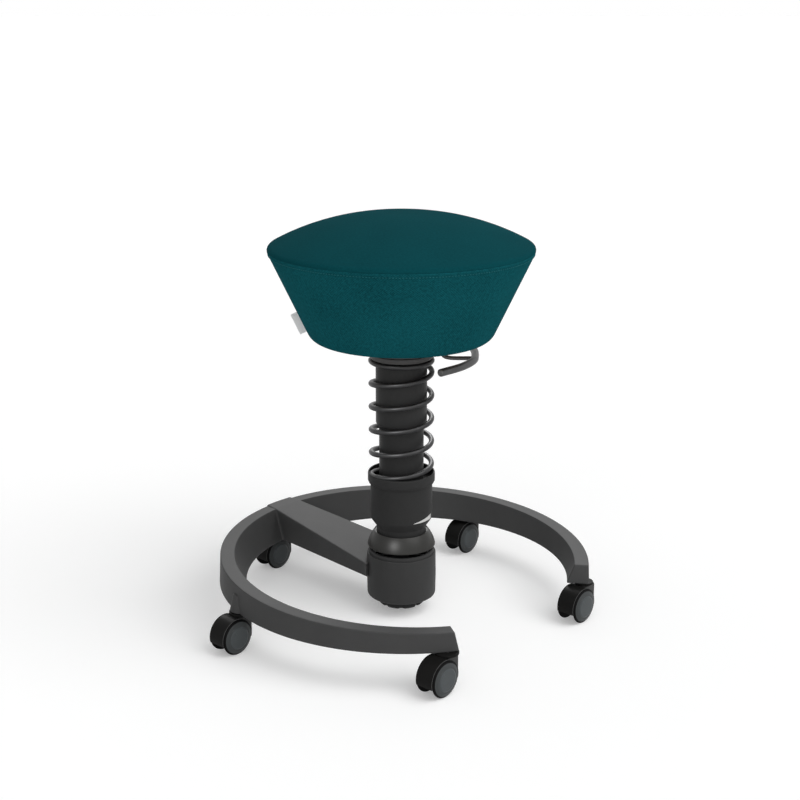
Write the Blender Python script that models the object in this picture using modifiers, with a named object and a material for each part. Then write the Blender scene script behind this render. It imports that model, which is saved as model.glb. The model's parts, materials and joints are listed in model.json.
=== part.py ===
"""Spring balance stool.

A round padded seat on a gas lift. The lift stands in a sleeve that rides on an open coil spring,
the spring stands on a column that tilts on a cross joint in the hub, and one arm carries the hub
from an open foot ring on five twin-wheel castors. Metres, +Z up, floor at Z = 0.
"""

import math

import bmesh
import bpy
from mathutils import Matrix, Vector

# Clearances
FIT = 0.0003
RUN = 0.0005

# Where the column stands: the origin is under the middle of the whole outline
COLUMN_X = -0.0080
COLUMN_Y = 0.0193

# Castors
WHEEL_RADIUS = 0.025
WHEEL_WIDTH = 0.0065
WHEEL_STEPS = 18
WHEEL_ROUND = 0.002
DISC_RADIUS = 0.018
DISC_RISE = 0.0006
WHEEL_WEB = 0.0026
HOOD_WIDTH = 0.024
HOOD_SHRINK = 0.0007
HOOD_LIFT = 0.0125
COLLAR_RADIUS = 0.015
AXLE_RADIUS = 0.003
STEM_RADIUS = 0.0055
STEM_IN_RING = 0.021
STEM_IN_HOOD = 0.020
CASTOR_TRAIL = 0.019
CASTOR_HEADING = -42.5
CASTOR_INSET = 0.0055
CASTOR_NAMES = ("arm", "back", "right", "front", "left")
CASTORS_WITH_BOSS = ("arm", "back", "left")
BOSS_RADIUS = 0.015
BOSS_TOP_RADIUS = 0.0095
BOSS_HEIGHT = 0.025

# Foot ring
RING_CLEARANCE = 0.0048
RING_RADIUS = 0.266
CASTOR_CIRCLE = RING_RADIUS - CASTOR_INSET
RING_OFFSET = 0.0064
RING_TOP_WIDTH = 0.0204
RING_HEIGHT_AT_ARM = 0.0458
RING_HEIGHT_AT_ENDS = 0.0269
RING_OUTER_DRAFT = 0.05
RING_INNER_DRAFT = 0.40
RING_CHAMFER = 0.0012
RING_OPENING = 68.1
RING_END_LEAN = 0.006
RING_STATIONS = 48

# Support arm
ARM_ANGLE = 138.0
ARM_HALF_AT_RING = 0.025
ARM_HALF_AT_HUB = 0.0485
ARM_HEIGHT_AT_HUB = 0.0205
ARM_LAP = 0.0012

# Hub and tilt joint
HUB_DROP = 0.0318
HUB_RADIUS = 0.0503
HUB_BORE = 0.044
HUB_HEIGHT = 0.0662
HUB_FLOOR = 0.008
HUB_FOOT_RADIUS = 0.046
HUB_FOOT_ROUND = 0.0045
HUB_COLLAR_RADIUS = 0.0473
HUB_COLLAR_HEIGHT = 0.0052
PIVOT_BELOW_COLLAR = 0.0169
TRUNNION_WALL = 0.0067
TRUNNION_HEIGHT = 0.016
CROSS_PIN_RADIUS = 0.005
CROSS_CORE_RADIUS = 0.009
YOKE_HALF_GAP = 0.018
YOKE_PLATE = 0.008
YOKE_PLATE_HALF_WIDTH = 0.011
YOKE_HEAD_ABOVE_PIVOT = 0.0235
YOKE_HEAD = 0.0038
YOKE_PLATE_SINK = 0.0008
YOKE_HEAD_LOW_RADIUS = 0.037
BALL_RADIUS = 0.032
BALL_CLEARANCE = 0.0007
BALL_CUT_BELOW_PIVOT = 0.0165
CAP_RADIUS = 0.0488
CAP_WALL = 0.0024
CAP_CENTRE_BELOW_COLLAR = 0.0040
CAP_SKIRT_ABOVE_COLLAR = 0.0062
CAP_OPENING = 0.0382
CAP_LIP_DROP = 0.0022

# Tilt firmness
SPINDLE_RADIUS = 0.0075
SPINDLE_COLLAR_RADIUS = 0.012
SPINDLE_COLLAR = 0.003
PRELOAD_RADIUS = 0.034
PRELOAD_THICKNESS = 0.005
PRELOAD_TRAVEL = 0.003
BUFFER_RADIUS = 0.028
BUFFER_BORE = 0.013
BUFFER_SEAT_RADIUS = 0.0235
HANDWHEEL_RADIUS = 0.034
HANDWHEEL_HEIGHT = 0.0128
HANDWHEEL_NOTCHES = 8
HANDWHEEL_NOTCH_RADIUS = 0.0035

# Column, spring and sleeve
NECK_RADIUS = 0.0357
NECK_SHOWN = 0.0092
CUP_CONE = 0.0125
CUP_RADIUS = 0.0444
CUP_HEIGHT = 0.0531
RIM_RADIUS = 0.0481
RIM_HEIGHT = 0.0155
TUBE_RADIUS = 0.0318
TUBE_WALL = 0.003
SPRING_WIRE = 0.0075
SPRING_RADIUS = 0.0429
SPRING_LENGTH = 0.1802
SPRING_TURNS = 5.19
SPRING_START = 110.0
SPRING_POINTS_PER_TURN = 10
SLEEVE_RADIUS = 0.0363
SLEEVE_LENGTH = 0.093
SLEEVE_ROUND = 0.003
BOUNCE_TRAVEL = 0.045
BUMP_STOP = 0.0115
FLANGE_RADIUS = 0.044
FLANGE_THICKNESS = 0.0052
GUIDE_HEIGHT = 0.020

# Gas lift
STAND_RADIUS = 0.020
STAND_WALL = 0.0025
STAND_FLOOR = 0.004
STAND_COLLAR_RADIUS = 0.025
STAND_COLLAR = 0.004
ROD_RADIUS = 0.005
ROD_HEAD = 0.0048
ROD_HEAD_RADIUS = 0.009
PISTON = 0.010
BEARING = 0.006
CYLINDER_RADIUS = 0.014
CYLINDER_WALL = 0.002
CYLINDER_GLAND = 0.006
CYLINDER_LIFT = 0.020
CYLINDER_ABOVE_PAN = 0.006
LIFT_TRAVEL = 0.120
LIFT_BUSH = 0.045
VALVE_RADIUS = 0.003
VALVE_RISE = 0.0042
VALVE_DEPTH = 0.004

# Seat
PAN_CLEARANCE = 0.0025
PAN_FLOOR = 0.0025
PAN_RADIUS = 0.049
PAN_WALL = 0.003
PAN_DEPTH = 0.0146
PAN_RIM_RADIUS = 0.080
PAN_SOCKET_WALL = 0.0036
PAN_SOCKET_HEIGHT = 0.004
BOARD_INSET = 0.0118
BOARD_THICKNESS = 0.012
BOARD_HOLE = 0.016
BOLT_COUNT = 3
BOLT_RADIUS = 0.003
BOLT_HEAD_RADIUS = 0.0055
BOLT_HEAD = 0.0034
COVER_WALL = 0.0016
COVER_HEM = 0.010
SEAT_RADIUS = 0.1836
SEAT_BOTTOM_RADIUS = 0.1258
BOARD_RADIUS = SEAT_BOTTOM_RADIUS - BOARD_INSET
SEAT_SIDE_HEIGHT = 0.123
SEAT_CROWN = 0.0525
SEAT_TOP_ROUND = 0.0105
SEAT_BOTTOM_ROUND = 0.010
TAB_LENGTH = 0.031
TAB_REACH = 0.012
TAB_THICKNESS = 0.001
TAB_RISE = 0.0085

# Release lever
LEVER_DROP = 0.0104
LEVER_REACH = 0.1
LEVER_GRIP_SHAPE = (
    (0.54, -0.56),
    (0.829, -0.25),
    (1.005, 0.075),
    (1.052, 0.36),
    (1.055, 0.70),
    (1.015, 1.00),
)
LEVER_SPOKE_RISE = 0.0012
LEVER_BEND_OUT = 0.011
LEVER_BEND_RISE = 0.011
LEVER_WALL_PASS = 0.004
LEVER_WALL_DROP = 0.001
LEVER_GRIP_RADIUS = 0.0055
LEVER_SPOKE_RADIUS = 0.0029
LEVER_PIVOT_X = 0.026
LEVER_Y = 0.024
LEVER_PIN_RADIUS = 0.0022
LEVER_BOSS_RADIUS = 0.0045
LEVER_BOSS_HALF = 0.0045
BRACKET_WALL = 0.0025

# Heights that follow from the sizes above
RING_BOTTOM = 2 * WHEEL_RADIUS + RING_CLEARANCE
HUB_BOTTOM = RING_BOTTOM - HUB_DROP
HUB_INSIDE = HUB_BOTTOM + HUB_FLOOR
HUB_SHOULDER = HUB_BOTTOM + HUB_HEIGHT
COLLAR_TOP = HUB_SHOULDER + HUB_COLLAR_HEIGHT
PIVOT_Z = COLLAR_TOP - PIVOT_BELOW_COLLAR
YOKE_HEAD_BOTTOM = PIVOT_Z + YOKE_HEAD_ABOVE_PIVOT
COLUMN_FLOOR = YOKE_HEAD_BOTTOM + YOKE_HEAD
CAP_CENTRE = COLLAR_TOP - CAP_CENTRE_BELOW_COLLAR
CAP_TOP = CAP_CENTRE + math.sqrt(CAP_RADIUS**2 - CAP_OPENING**2)
CONE_BOTTOM = CAP_TOP + NECK_SHOWN
CUP_BOTTOM = CONE_BOTTOM + CUP_CONE
SPRING_FLOOR = CUP_BOTTOM + CUP_HEIGHT
RIM_TOP = SPRING_FLOOR + RIM_HEIGHT
FLANGE_BOTTOM = SPRING_FLOOR + SPRING_LENGTH + 2 * FIT
FLANGE_TOP = FLANGE_BOTTOM + FLANGE_THICKNESS
STAND_TOP = FLANGE_TOP + FIT + STAND_COLLAR
STAND_BOTTOM = COLUMN_FLOOR + BOUNCE_TRAVEL + ROD_HEAD + 5 * RUN
BEARING_TOP = STAND_BOTTOM + STAND_FLOOR + FIT + BEARING
CYLINDER_BOTTOM = BEARING_TOP + CYLINDER_LIFT
PAN_BOTTOM = STAND_TOP + PAN_CLEARANCE
PAN_INSIDE = PAN_BOTTOM + PAN_FLOOR
PAN_RIM = PAN_INSIDE + PAN_DEPTH
PAN_TOP = PAN_RIM + PAN_WALL
BOARD_BOTTOM = PAN_TOP + FIT
BOARD_TOP = BOARD_BOTTOM + BOARD_THICKNESS
SEAT_BOTTOM = BOARD_BOTTOM - FIT - COVER_WALL
SEAT_RIM = SEAT_BOTTOM + SEAT_SIDE_HEIGHT
SEAT_TOP = SEAT_RIM + SEAT_CROWN
CYLINDER_TOP = PAN_INSIDE + CYLINDER_ABOVE_PAN
VALVE_TOP = CYLINDER_TOP + VALVE_RISE
LEVER_PIVOT_Z = PAN_INSIDE + LEVER_BOSS_RADIUS + 5 * RUN
LEVER_Z = FLANGE_TOP - LEVER_DROP

# Facets of the round pieces
COARSE = 14
MEDIUM = 20
FINE = 32
CROWN_STEPS = 5

CHARCOAL = (0.045, 0.045, 0.046)
BLACK = (0.028, 0.028, 0.029)
RUBBER = (0.020, 0.020, 0.021)
STEEL = (0.55, 0.56, 0.57)
TEAL = (0.0044, 0.065, 0.077)
FOAM = (0.72, 0.69, 0.55)
PLYWOOD = (0.56, 0.40, 0.23)
GREY = (0.42, 0.42, 0.41)
WHITE_PLASTIC = (0.70, 0.70, 0.66)


def clear_scene():
    """Removes what the file starts with."""
    for found in list(bpy.data.objects):
        bpy.data.objects.remove(found, do_unlink=True)


def new_collection(name):
    """A collection under the scene's own."""
    made = bpy.data.collections.new(name)
    bpy.context.scene.collection.children.link(made)
    return made


def finish(name, colour, roughness=0.5, metallic=0.0):
    """A plain shader with this colour, roughness and metallic value."""
    made = bpy.data.materials.new(name)
    made.use_nodes = True
    shader = made.node_tree.nodes["Principled BSDF"]
    shader.inputs["Base Color"].default_value = (*colour, 1.0)
    shader.inputs["Roughness"].default_value = roughness
    shader.inputs["Metallic"].default_value = metallic
    return made


def axis_empty(name, place, parent=None, turn=0.0):
    """An empty on a joint's axis, which the pieces of one moving body hang from."""
    made = bpy.data.objects.new(name, None)
    made.empty_display_size = 0.02
    made.location = place
    made.rotation_euler = (0.0, 0.0, math.radians(turn))
    made.parent = parent
    STOOL.objects.link(made)
    return made


def add_object(name, data, parent, look=None, place=None):
    """Links an object; one with no look is a cutter or a guide and stays out of renders."""
    made = bpy.data.objects.new(name, data)
    made.parent = parent
    if place is not None:
        made.matrix_basis = place
    if look is None:
        CUTTERS.objects.link(made)
        made.hide_render = True
        made.display_type = "WIRE"
    else:
        STOOL.objects.link(made)
        data.materials.append(finish(name + "_finish", *look))
    return made


def boolean(piece, tool, operation="DIFFERENCE"):
    """Cuts, joins or trims a piece by another object."""
    modifier = piece.modifiers.new(tool.name, "BOOLEAN")
    modifier.operation = operation
    modifier.solver = "EXACT"
    modifier.object = tool
    return piece


def mesh_from(name, build):
    """A mesh filled by build(bm), with its faces turned out and its round edges smooth."""
    mesh = bpy.data.meshes.new(name)
    bm = bmesh.new()
    build(bm)
    bmesh.ops.recalc_face_normals(bm, faces=bm.faces)
    bm.to_mesh(mesh)
    bm.free()
    mesh.shade_smooth()
    mesh.set_sharp_from_angle(angle=math.radians(35))
    return mesh


def turned(name, profile, steps, parent, look=None, place=None):
    """A solid of revolution about its Z: (radius, height) pairs run down the outer side.

    A profile whose ends are both off the axis closes into a ring.
    """
    mesh = bpy.data.meshes.new(name)
    last = len(profile) - 1
    edges = [(i, i + 1) for i in range(last)]
    if profile[0][0] > 0 and profile[-1][0] > 0:
        edges.append((last, 0))
    mesh.from_pydata([(radius, 0.0, height) for radius, height in profile], edges, [])
    made = add_object(name, mesh, parent, look, place)
    screw = made.modifiers.new("Turn", "SCREW")
    screw.axis = "Z"
    screw.steps = steps
    screw.render_steps = steps
    screw.use_merge_vertices = True
    screw.merge_threshold = 0.00001
    return made


def cylinder(name, radius, low, high, steps, parent, look=None, place=None, top_radius=None):
    """A cylinder or a cone along its own Z from low to high."""
    upper = radius if top_radius is None else top_radius

    def build(bm):
        bmesh.ops.create_cone(
            bm,
            cap_ends=True,
            segments=steps,
            radius1=radius,
            radius2=upper,
            depth=high - low,
            matrix=Matrix.Translation((0.0, 0.0, (low + high) / 2)),
        )

    return add_object(name, mesh_from(name, build), parent, look, place)


def box(name, low, high, parent, look=None, place=None):
    """A box between two corners."""
    centre = (Vector(low) + Vector(high)) / 2
    size = Vector(high) - Vector(low)

    def build(bm):
        bmesh.ops.create_cube(
            bm, size=1.0, matrix=Matrix.Translation(centre) @ Matrix.Diagonal((*size, 1.0))
        )

    return add_object(name, mesh_from(name, build), parent, look, place)


def tube_mesh(name, points, radius, resolution):
    """The closed mesh of a round rod along points, its end caps welded on."""
    curve = tube_curve(name + "_path", points, radius, resolution)
    guide = bpy.data.objects.new(name + "_path", curve)
    CUTTERS.objects.link(guide)
    graph = bpy.context.evaluated_depsgraph_get()
    mesh = bpy.data.meshes.new_from_object(guide.evaluated_get(graph))
    bpy.data.objects.remove(guide, do_unlink=True)
    bm = bmesh.new()
    bm.from_mesh(mesh)
    bmesh.ops.remove_doubles(bm, verts=bm.verts, dist=0.00001)
    bmesh.ops.recalc_face_normals(bm, faces=bm.faces)
    bm.to_mesh(mesh)
    bm.free()
    return mesh


def tube_curve(name, points, radius, resolution):
    """A round wire along points, with its ends filled."""
    curve = bpy.data.curves.new(name, "CURVE")
    curve.dimensions = "3D"
    curve.bevel_depth = radius
    curve.bevel_resolution = resolution
    curve.use_fill_caps = True
    spline = curve.splines.new("POLY")
    spline.points.add(len(points) - 1)
    for point, place in zip(spline.points, points):
        point.co = (*place, 1.0)
    return curve


def smooth_path(knots, per_span):
    """Points on a smooth curve through knots, per_span to each span."""
    ends = [knots[0] * 2 - knots[1], *knots, knots[-1] * 2 - knots[-2]]
    path = []
    for a, b, c, d in zip(ends, ends[1:], ends[2:], ends[3:]):
        for i in range(per_span):
            t = i / per_span
            path.append(
                0.5
                * (
                    2 * b
                    + (c - a) * t
                    + (2 * a - 5 * b + 4 * c - d) * t**2
                    + (3 * b - a - 3 * c + d) * t**3
                )
            )
    path.append(knots[-1].copy())
    return path


def arc(centre, radius, start, stop, count):
    """count + 1 points (radius, height) round a centre, between two angles in degrees."""
    found = []
    for i in range(count + 1):
        angle = math.radians(start + (stop - start) * i / count)
        found.append((centre[0] + radius * math.cos(angle), centre[1] + radius * math.sin(angle)))
    return found


def along_z_to(direction):
    """The turn that takes +Z to a direction."""
    return Vector((0.0, 0.0, 1.0)).rotation_difference(Vector(direction)).to_matrix().to_4x4()


def ring_top_height(along):
    """How tall the ring is at a distance from its centre towards the arm: it falls to the ends."""
    ends = -RING_RADIUS * math.cos(math.radians(RING_OPENING / 2))
    share = (along - ends) / (RING_RADIUS - ends)
    return RING_HEIGHT_AT_ENDS + (RING_HEIGHT_AT_ARM - RING_HEIGHT_AT_ENDS) * share


def ring_section(angle, margin):
    """(radius, height) points round the ring's section at an angle, grown by margin."""
    height = ring_top_height(RING_RADIUS * math.cos(math.radians(angle - ARM_ANGLE)))
    low = RING_BOTTOM - margin
    high = RING_BOTTOM + height + margin
    outer = RING_RADIUS + margin
    inner = RING_RADIUS - RING_TOP_WIDTH - margin
    return [
        (outer + RING_OUTER_DRAFT * height, low),
        (outer, high - RING_CHAMFER),
        (outer - RING_CHAMFER, high),
        (inner + RING_CHAMFER, high),
        (inner, high - RING_CHAMFER),
        (inner - RING_INNER_DRAFT * height, low),
    ]


def ring_mesh(name, margin):
    """The open ring as a loft of sections, whose end faces lean out towards the floor."""
    first = ARM_ANGLE - 180.0 + RING_OPENING / 2
    sweep = 360.0 - RING_OPENING

    def build(bm):
        loops = []
        for i in range(RING_STATIONS + 1):
            angle = first + sweep * i / RING_STATIONS
            lean = {0: -1.0, RING_STATIONS: 1.0}.get(i, 0.0) * RING_END_LEAN / RING_RADIUS
            section = ring_section(angle, margin)
            high = max(height for _, height in section)
            low = min(height for _, height in section)
            loop = []
            for radius, height in section:
                turn = math.radians(angle) + lean * (high - height) / (high - low)
                loop.append(bm.verts.new((radius * math.cos(turn), radius * math.sin(turn), height)))
            loops.append(loop)
        for before, after in zip(loops, loops[1:]):
            for i in range(len(before)):
                j = (i + 1) % len(before)
                bm.faces.new((before[i], before[j], after[j], after[i]))
        bm.faces.new(loops[0])
        bm.faces.new(loops[-1])

    return mesh_from(name, build)


def castor_places():
    """(name, x, y) of each castor's stem, from the ring's centre."""
    step = 360.0 / len(CASTOR_NAMES)
    for i, name in enumerate(CASTOR_NAMES):
        angle = math.radians(ARM_ANGLE - step * i)
        yield name, CASTOR_CIRCLE * math.cos(angle), CASTOR_CIRCLE * math.sin(angle)


def make_ring(centre):
    """The foot ring with a socket for each castor's stem."""
    look = (CHARCOAL, 0.55, 0.2)
    ring = add_object("foot_ring", ring_mesh("foot_ring", 0.0), centre, look)
    for name, x, y in castor_places():
        place = Matrix.Translation((x, y, 0.0))
        if name in CASTORS_WITH_BOSS:
            boss = cylinder(
                f"boss_{name}",
                BOSS_RADIUS,
                RING_BOTTOM + FIT,
                RING_BOTTOM + BOSS_HEIGHT,
                COARSE,
                centre,
                place=place,
                top_radius=BOSS_TOP_RADIUS,
            )
            boolean(ring, boss, "UNION")
    for name, x, y in castor_places():
        socket = cylinder(
            f"socket_{name}",
            STEM_RADIUS + FIT,
            RING_BOTTOM - STEM_IN_HOOD,
            RING_BOTTOM + STEM_IN_RING + FIT,
            COARSE,
            centre,
            place=Matrix.Translation((x, y, 0.0)),
        )
        boolean(ring, socket)


def make_arm(column, centre):
    """The wedge from the ring to the hub, lapped over the ring and trimmed to both."""
    over_ring = RING_RADIUS - RING_OFFSET
    inner_edge = over_ring - RING_TOP_WIDTH
    beyond = over_ring + RING_TOP_WIDTH
    ring_inner_top = RING_BOTTOM + ring_top_height(RING_RADIUS - RING_TOP_WIDTH) + ARM_LAP + FIT
    ring_outer_top = RING_BOTTOM + ring_top_height(RING_RADIUS + RING_TOP_WIDTH) + ARM_LAP + FIT
    hub_end = HUB_RADIUS / 2
    growth = (ARM_HALF_AT_RING - ARM_HALF_AT_HUB) / (over_ring - hub_end)
    stations = (
        (hub_end, RING_BOTTOM + ARM_HEIGHT_AT_HUB),
        (inner_edge, ring_inner_top),
        (beyond, ring_outer_top),
    )

    def build(bm):
        loops = []
        for along, top in stations:
            half = ARM_HALF_AT_HUB + growth * (along - hub_end)
            corners = ((-half, RING_BOTTOM), (half, RING_BOTTOM), (half, top), (-half, top))
            loops.append([bm.verts.new((along, side, height)) for side, height in corners])
        for before, after in zip(loops, loops[1:]):
            for i in range(4):
                j = (i + 1) % 4
                bm.faces.new((before[i], before[j], after[j], after[i]))
        bm.faces.new(loops[0])
        bm.faces.new(loops[-1])

    place = Matrix.Rotation(math.radians(ARM_ANGLE), 4, "Z")
    look = (CHARCOAL, 0.55, 0.2)
    arm = add_object("support_arm", mesh_from("support_arm", build), column, look, place)
    cylinder_low = RING_BOTTOM - HUB_DROP
    cylinder_high = RING_BOTTOM + 2 * RING_HEIGHT_AT_ARM
    boolean(arm, add_object("arm_ring_cut", ring_mesh("arm_ring_cut", FIT), centre))
    rim = cylinder("arm_rim_trim", RING_RADIUS, cylinder_low, cylinder_high, 3 * MEDIUM, centre)
    boolean(arm, rim, "INTERSECT")
    hub = cylinder("arm_hub_cut", HUB_RADIUS + FIT, cylinder_low, cylinder_high, FINE, column)
    boolean(arm, hub)


def make_hub(column):
    """The hub housing, open at the top, with a hole in its floor for the tilt spindle."""
    foot = HUB_BOTTOM + HUB_FOOT_ROUND
    middle = (foot + HUB_SHOULDER) / 2
    taper = RUN
    profile = [
        (HUB_COLLAR_RADIUS, COLLAR_TOP),
        (HUB_COLLAR_RADIUS, HUB_SHOULDER),
        (HUB_RADIUS - taper, HUB_SHOULDER),
        (HUB_RADIUS, middle),
        (HUB_RADIUS - taper, foot),
        ((HUB_RADIUS + HUB_FOOT_RADIUS) / 2, HUB_BOTTOM + HUB_FOOT_ROUND / 4),
        (HUB_FOOT_RADIUS, HUB_BOTTOM),
        (SPINDLE_RADIUS + RUN, HUB_BOTTOM),
        (SPINDLE_RADIUS + RUN, HUB_INSIDE),
        (HUB_BORE, HUB_INSIDE),
        (HUB_BORE, COLLAR_TOP),
    ]
    turned("hub_housing", profile, FINE, column, (CHARCOAL, 0.5, 0.2))


def make_tilt_joint(column):
    """The cross joint that the column tilts on: fixed ring, cross and the column's yoke."""
    outer = HUB_BORE - FIT
    half = TRUNNION_HEIGHT / 2
    inner = outer - TRUNNION_WALL
    at_pivot = Matrix.Translation((0.0, 0.0, PIVOT_Z))
    ring = turned(
        "trunnion_ring",
        [(outer, half), (outer, -half), (inner, -half), (inner, half)],
        MEDIUM,
        column,
        (STEEL, 0.4, 1.0),
        at_pivot,
    )
    along_x = at_pivot @ along_z_to((1.0, 0.0, 0.0))
    along_y = at_pivot @ along_z_to((0.0, 1.0, 0.0))
    reach_x = outer - RUN
    reach_y = YOKE_HALF_GAP + YOKE_PLATE
    bore = CROSS_PIN_RADIUS + FIT
    boolean(ring, cylinder("trunnion_bore", bore, -HUB_BORE, HUB_BORE, COARSE, column, place=along_x))
    cross = cylinder(
        "tilt_cross", CROSS_PIN_RADIUS, -reach_x, reach_x, COARSE, column, (STEEL, 0.3, 1.0), along_x
    )
    second = cylinder("cross_pin", CROSS_PIN_RADIUS, -reach_y, reach_y, COARSE, column, place=along_y)
    core_half = CROSS_CORE_RADIUS
    core = cylinder(
        "cross_core", CROSS_CORE_RADIUS, -core_half, core_half, MEDIUM, column, place=at_pivot
    )
    boolean(cross, core, "UNION")
    boolean(cross, second, "UNION")

    head_low = YOKE_HEAD_ABOVE_PIVOT
    head_high = head_low + YOKE_HEAD
    head_above_cap_centre = PIVOT_Z + head_high - CAP_CENTRE
    head_radius = math.sqrt((CAP_RADIUS - CAP_WALL - FIT) ** 2 - head_above_cap_centre**2)
    head = [
        (0.0, head_high),
        (head_radius, head_high),
        (YOKE_HEAD_LOW_RADIUS, head_low),
        (0.0, head_low),
    ]
    yoke = turned("column_yoke", head, MEDIUM, column, (STEEL, 0.45, 0.9), at_pivot)
    cut_angle = math.degrees(math.asin(BALL_CUT_BELOW_PIVOT / BALL_RADIUS))
    ball = [(0.0, -BALL_CUT_BELOW_PIVOT), *arc((0.0, 0.0), BALL_RADIUS, -cut_angle, -90.0, 6)]
    ball[-1] = (0.0, -BALL_RADIUS)
    for side in (-1.0, 1.0):
        ends = sorted((side * YOKE_HALF_GAP, side * (YOKE_HALF_GAP + YOKE_PLATE)))
        plate = box(
            f"yoke_plate_{'left' if side < 0 else 'right'}",
            (-YOKE_PLATE_HALF_WIDTH, ends[0], -BALL_CUT_BELOW_PIVOT - YOKE_PLATE_SINK),
            (YOKE_PLATE_HALF_WIDTH, ends[1], head_low + YOKE_HEAD / 2),
            column,
            place=at_pivot,
        )
        boolean(yoke, plate, "UNION")
    boolean(yoke, turned("yoke_ball", ball, MEDIUM, column, place=at_pivot), "UNION")
    boolean(yoke, cylinder("yoke_bore", bore, -HUB_BORE, HUB_BORE, COARSE, column, place=along_y))


def make_tilt_cap(column):
    """The dome over the hub, with a sunk lip inside its top edge that grips the column's neck."""
    inner = CAP_RADIUS - CAP_WALL
    skirt = CAP_CENTRE_BELOW_COLLAR + CAP_SKIRT_ABOVE_COLLAR
    lip_top = CAP_TOP - CAP_CENTRE - CAP_LIP_DROP
    lip_bottom = lip_top - CAP_WALL
    grip = NECK_RADIUS + FIT
    outer_from = math.degrees(math.acos(CAP_OPENING / CAP_RADIUS))
    outer_to = math.degrees(math.asin(skirt / CAP_RADIUS))
    inner_from = math.degrees(math.asin(skirt / inner))
    inner_to = math.degrees(math.asin(lip_bottom / inner))
    profile = arc((0.0, 0.0), CAP_RADIUS, outer_from, outer_to, 4)
    profile += arc((0.0, 0.0), inner, inner_from, inner_to, 3)
    profile += [(grip, lip_bottom), (grip, lip_top), (CAP_OPENING, lip_top)]
    place = Matrix.Translation((0.0, 0.0, CAP_CENTRE))
    turned("tilt_cap", profile, FINE, column, (BLACK, 0.35), place)


def make_tilt_preload(column):
    """The rubber seat under the ball, its plate, and the spindle and handwheel that set them."""
    collar_bottom = HUB_INSIDE + FIT
    collar_top = collar_bottom + SPINDLE_COLLAR
    plate_bottom = collar_top + PRELOAD_TRAVEL + 2 * RUN
    plate_top = plate_bottom + PRELOAD_THICKNESS
    hole = SPINDLE_RADIUS + RUN
    turned(
        "preload_plate",
        [
            (PRELOAD_RADIUS, plate_top),
            (PRELOAD_RADIUS, plate_bottom),
            (hole, plate_bottom),
            (hole, plate_top),
        ],
        MEDIUM,
        column,
        (STEEL, 0.45, 1.0),
    )
    seat = BALL_RADIUS + BALL_CLEARANCE
    seat_in = PIVOT_Z - math.sqrt(seat**2 - BUFFER_BORE**2)
    start = -math.degrees(math.acos(BUFFER_SEAT_RADIUS / seat))
    stop = -math.degrees(math.acos(BUFFER_BORE / seat))
    bottom = plate_top + FIT
    seating = [(radius, PIVOT_Z + height) for radius, height in arc((0.0, 0.0), seat, stop, start, 4)]
    outer_top = seating[-1][1]
    profile = [(BUFFER_RADIUS, outer_top), (BUFFER_RADIUS, bottom), (BUFFER_BORE, bottom)]
    profile += [(BUFFER_BORE, seat_in), *seating[1:]]
    turned("tilt_buffer", profile, MEDIUM, column, (RUBBER, 0.8))

    wheel_top = HUB_BOTTOM - FIT
    wheel_bottom = wheel_top - HANDWHEEL_HEIGHT
    spindle_bottom = wheel_bottom + HANDWHEEL_HEIGHT / 4
    turned(
        "tilt_spindle",
        [
            (0.0, plate_top - RUN),
            (SPINDLE_RADIUS, plate_top - RUN),
            (SPINDLE_RADIUS, collar_top),
            (SPINDLE_COLLAR_RADIUS, collar_top),
            (SPINDLE_COLLAR_RADIUS, collar_bottom),
            (SPINDLE_RADIUS, collar_bottom),
            (SPINDLE_RADIUS, spindle_bottom),
            (0.0, spindle_bottom),
        ],
        COARSE,
        column,
        (STEEL, 0.35, 1.0),
    )
    socket = SPINDLE_RADIUS + FIT
    edge = HANDWHEEL_RADIUS - HANDWHEEL_NOTCH_RADIUS / 2
    wheel = turned(
        "tilt_handwheel",
        [
            (0.0, spindle_bottom - FIT),
            (socket, spindle_bottom - FIT),
            (socket, wheel_top),
            (HANDWHEEL_RADIUS, wheel_top),
            (HANDWHEEL_RADIUS, wheel_bottom + HANDWHEEL_HEIGHT / 3),
            (edge, wheel_bottom),
            (0.0, wheel_bottom),
        ],
        FINE,
        column,
        (BLACK, 0.5),
    )
    for i in range(HANDWHEEL_NOTCHES):
        angle = 2 * math.pi * i / HANDWHEEL_NOTCHES
        place = Matrix.Translation(
            (HANDWHEEL_RADIUS * math.cos(angle), HANDWHEEL_RADIUS * math.sin(angle), 0.0)
        )
        notch = cylinder(
            f"handwheel_notch_{i}",
            HANDWHEEL_NOTCH_RADIUS,
            wheel_bottom - RUN,
            wheel_bottom + HANDWHEEL_HEIGHT * 2 / 3,
            12,
            column,
            place=place,
        )
        boolean(wheel, notch)


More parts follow.
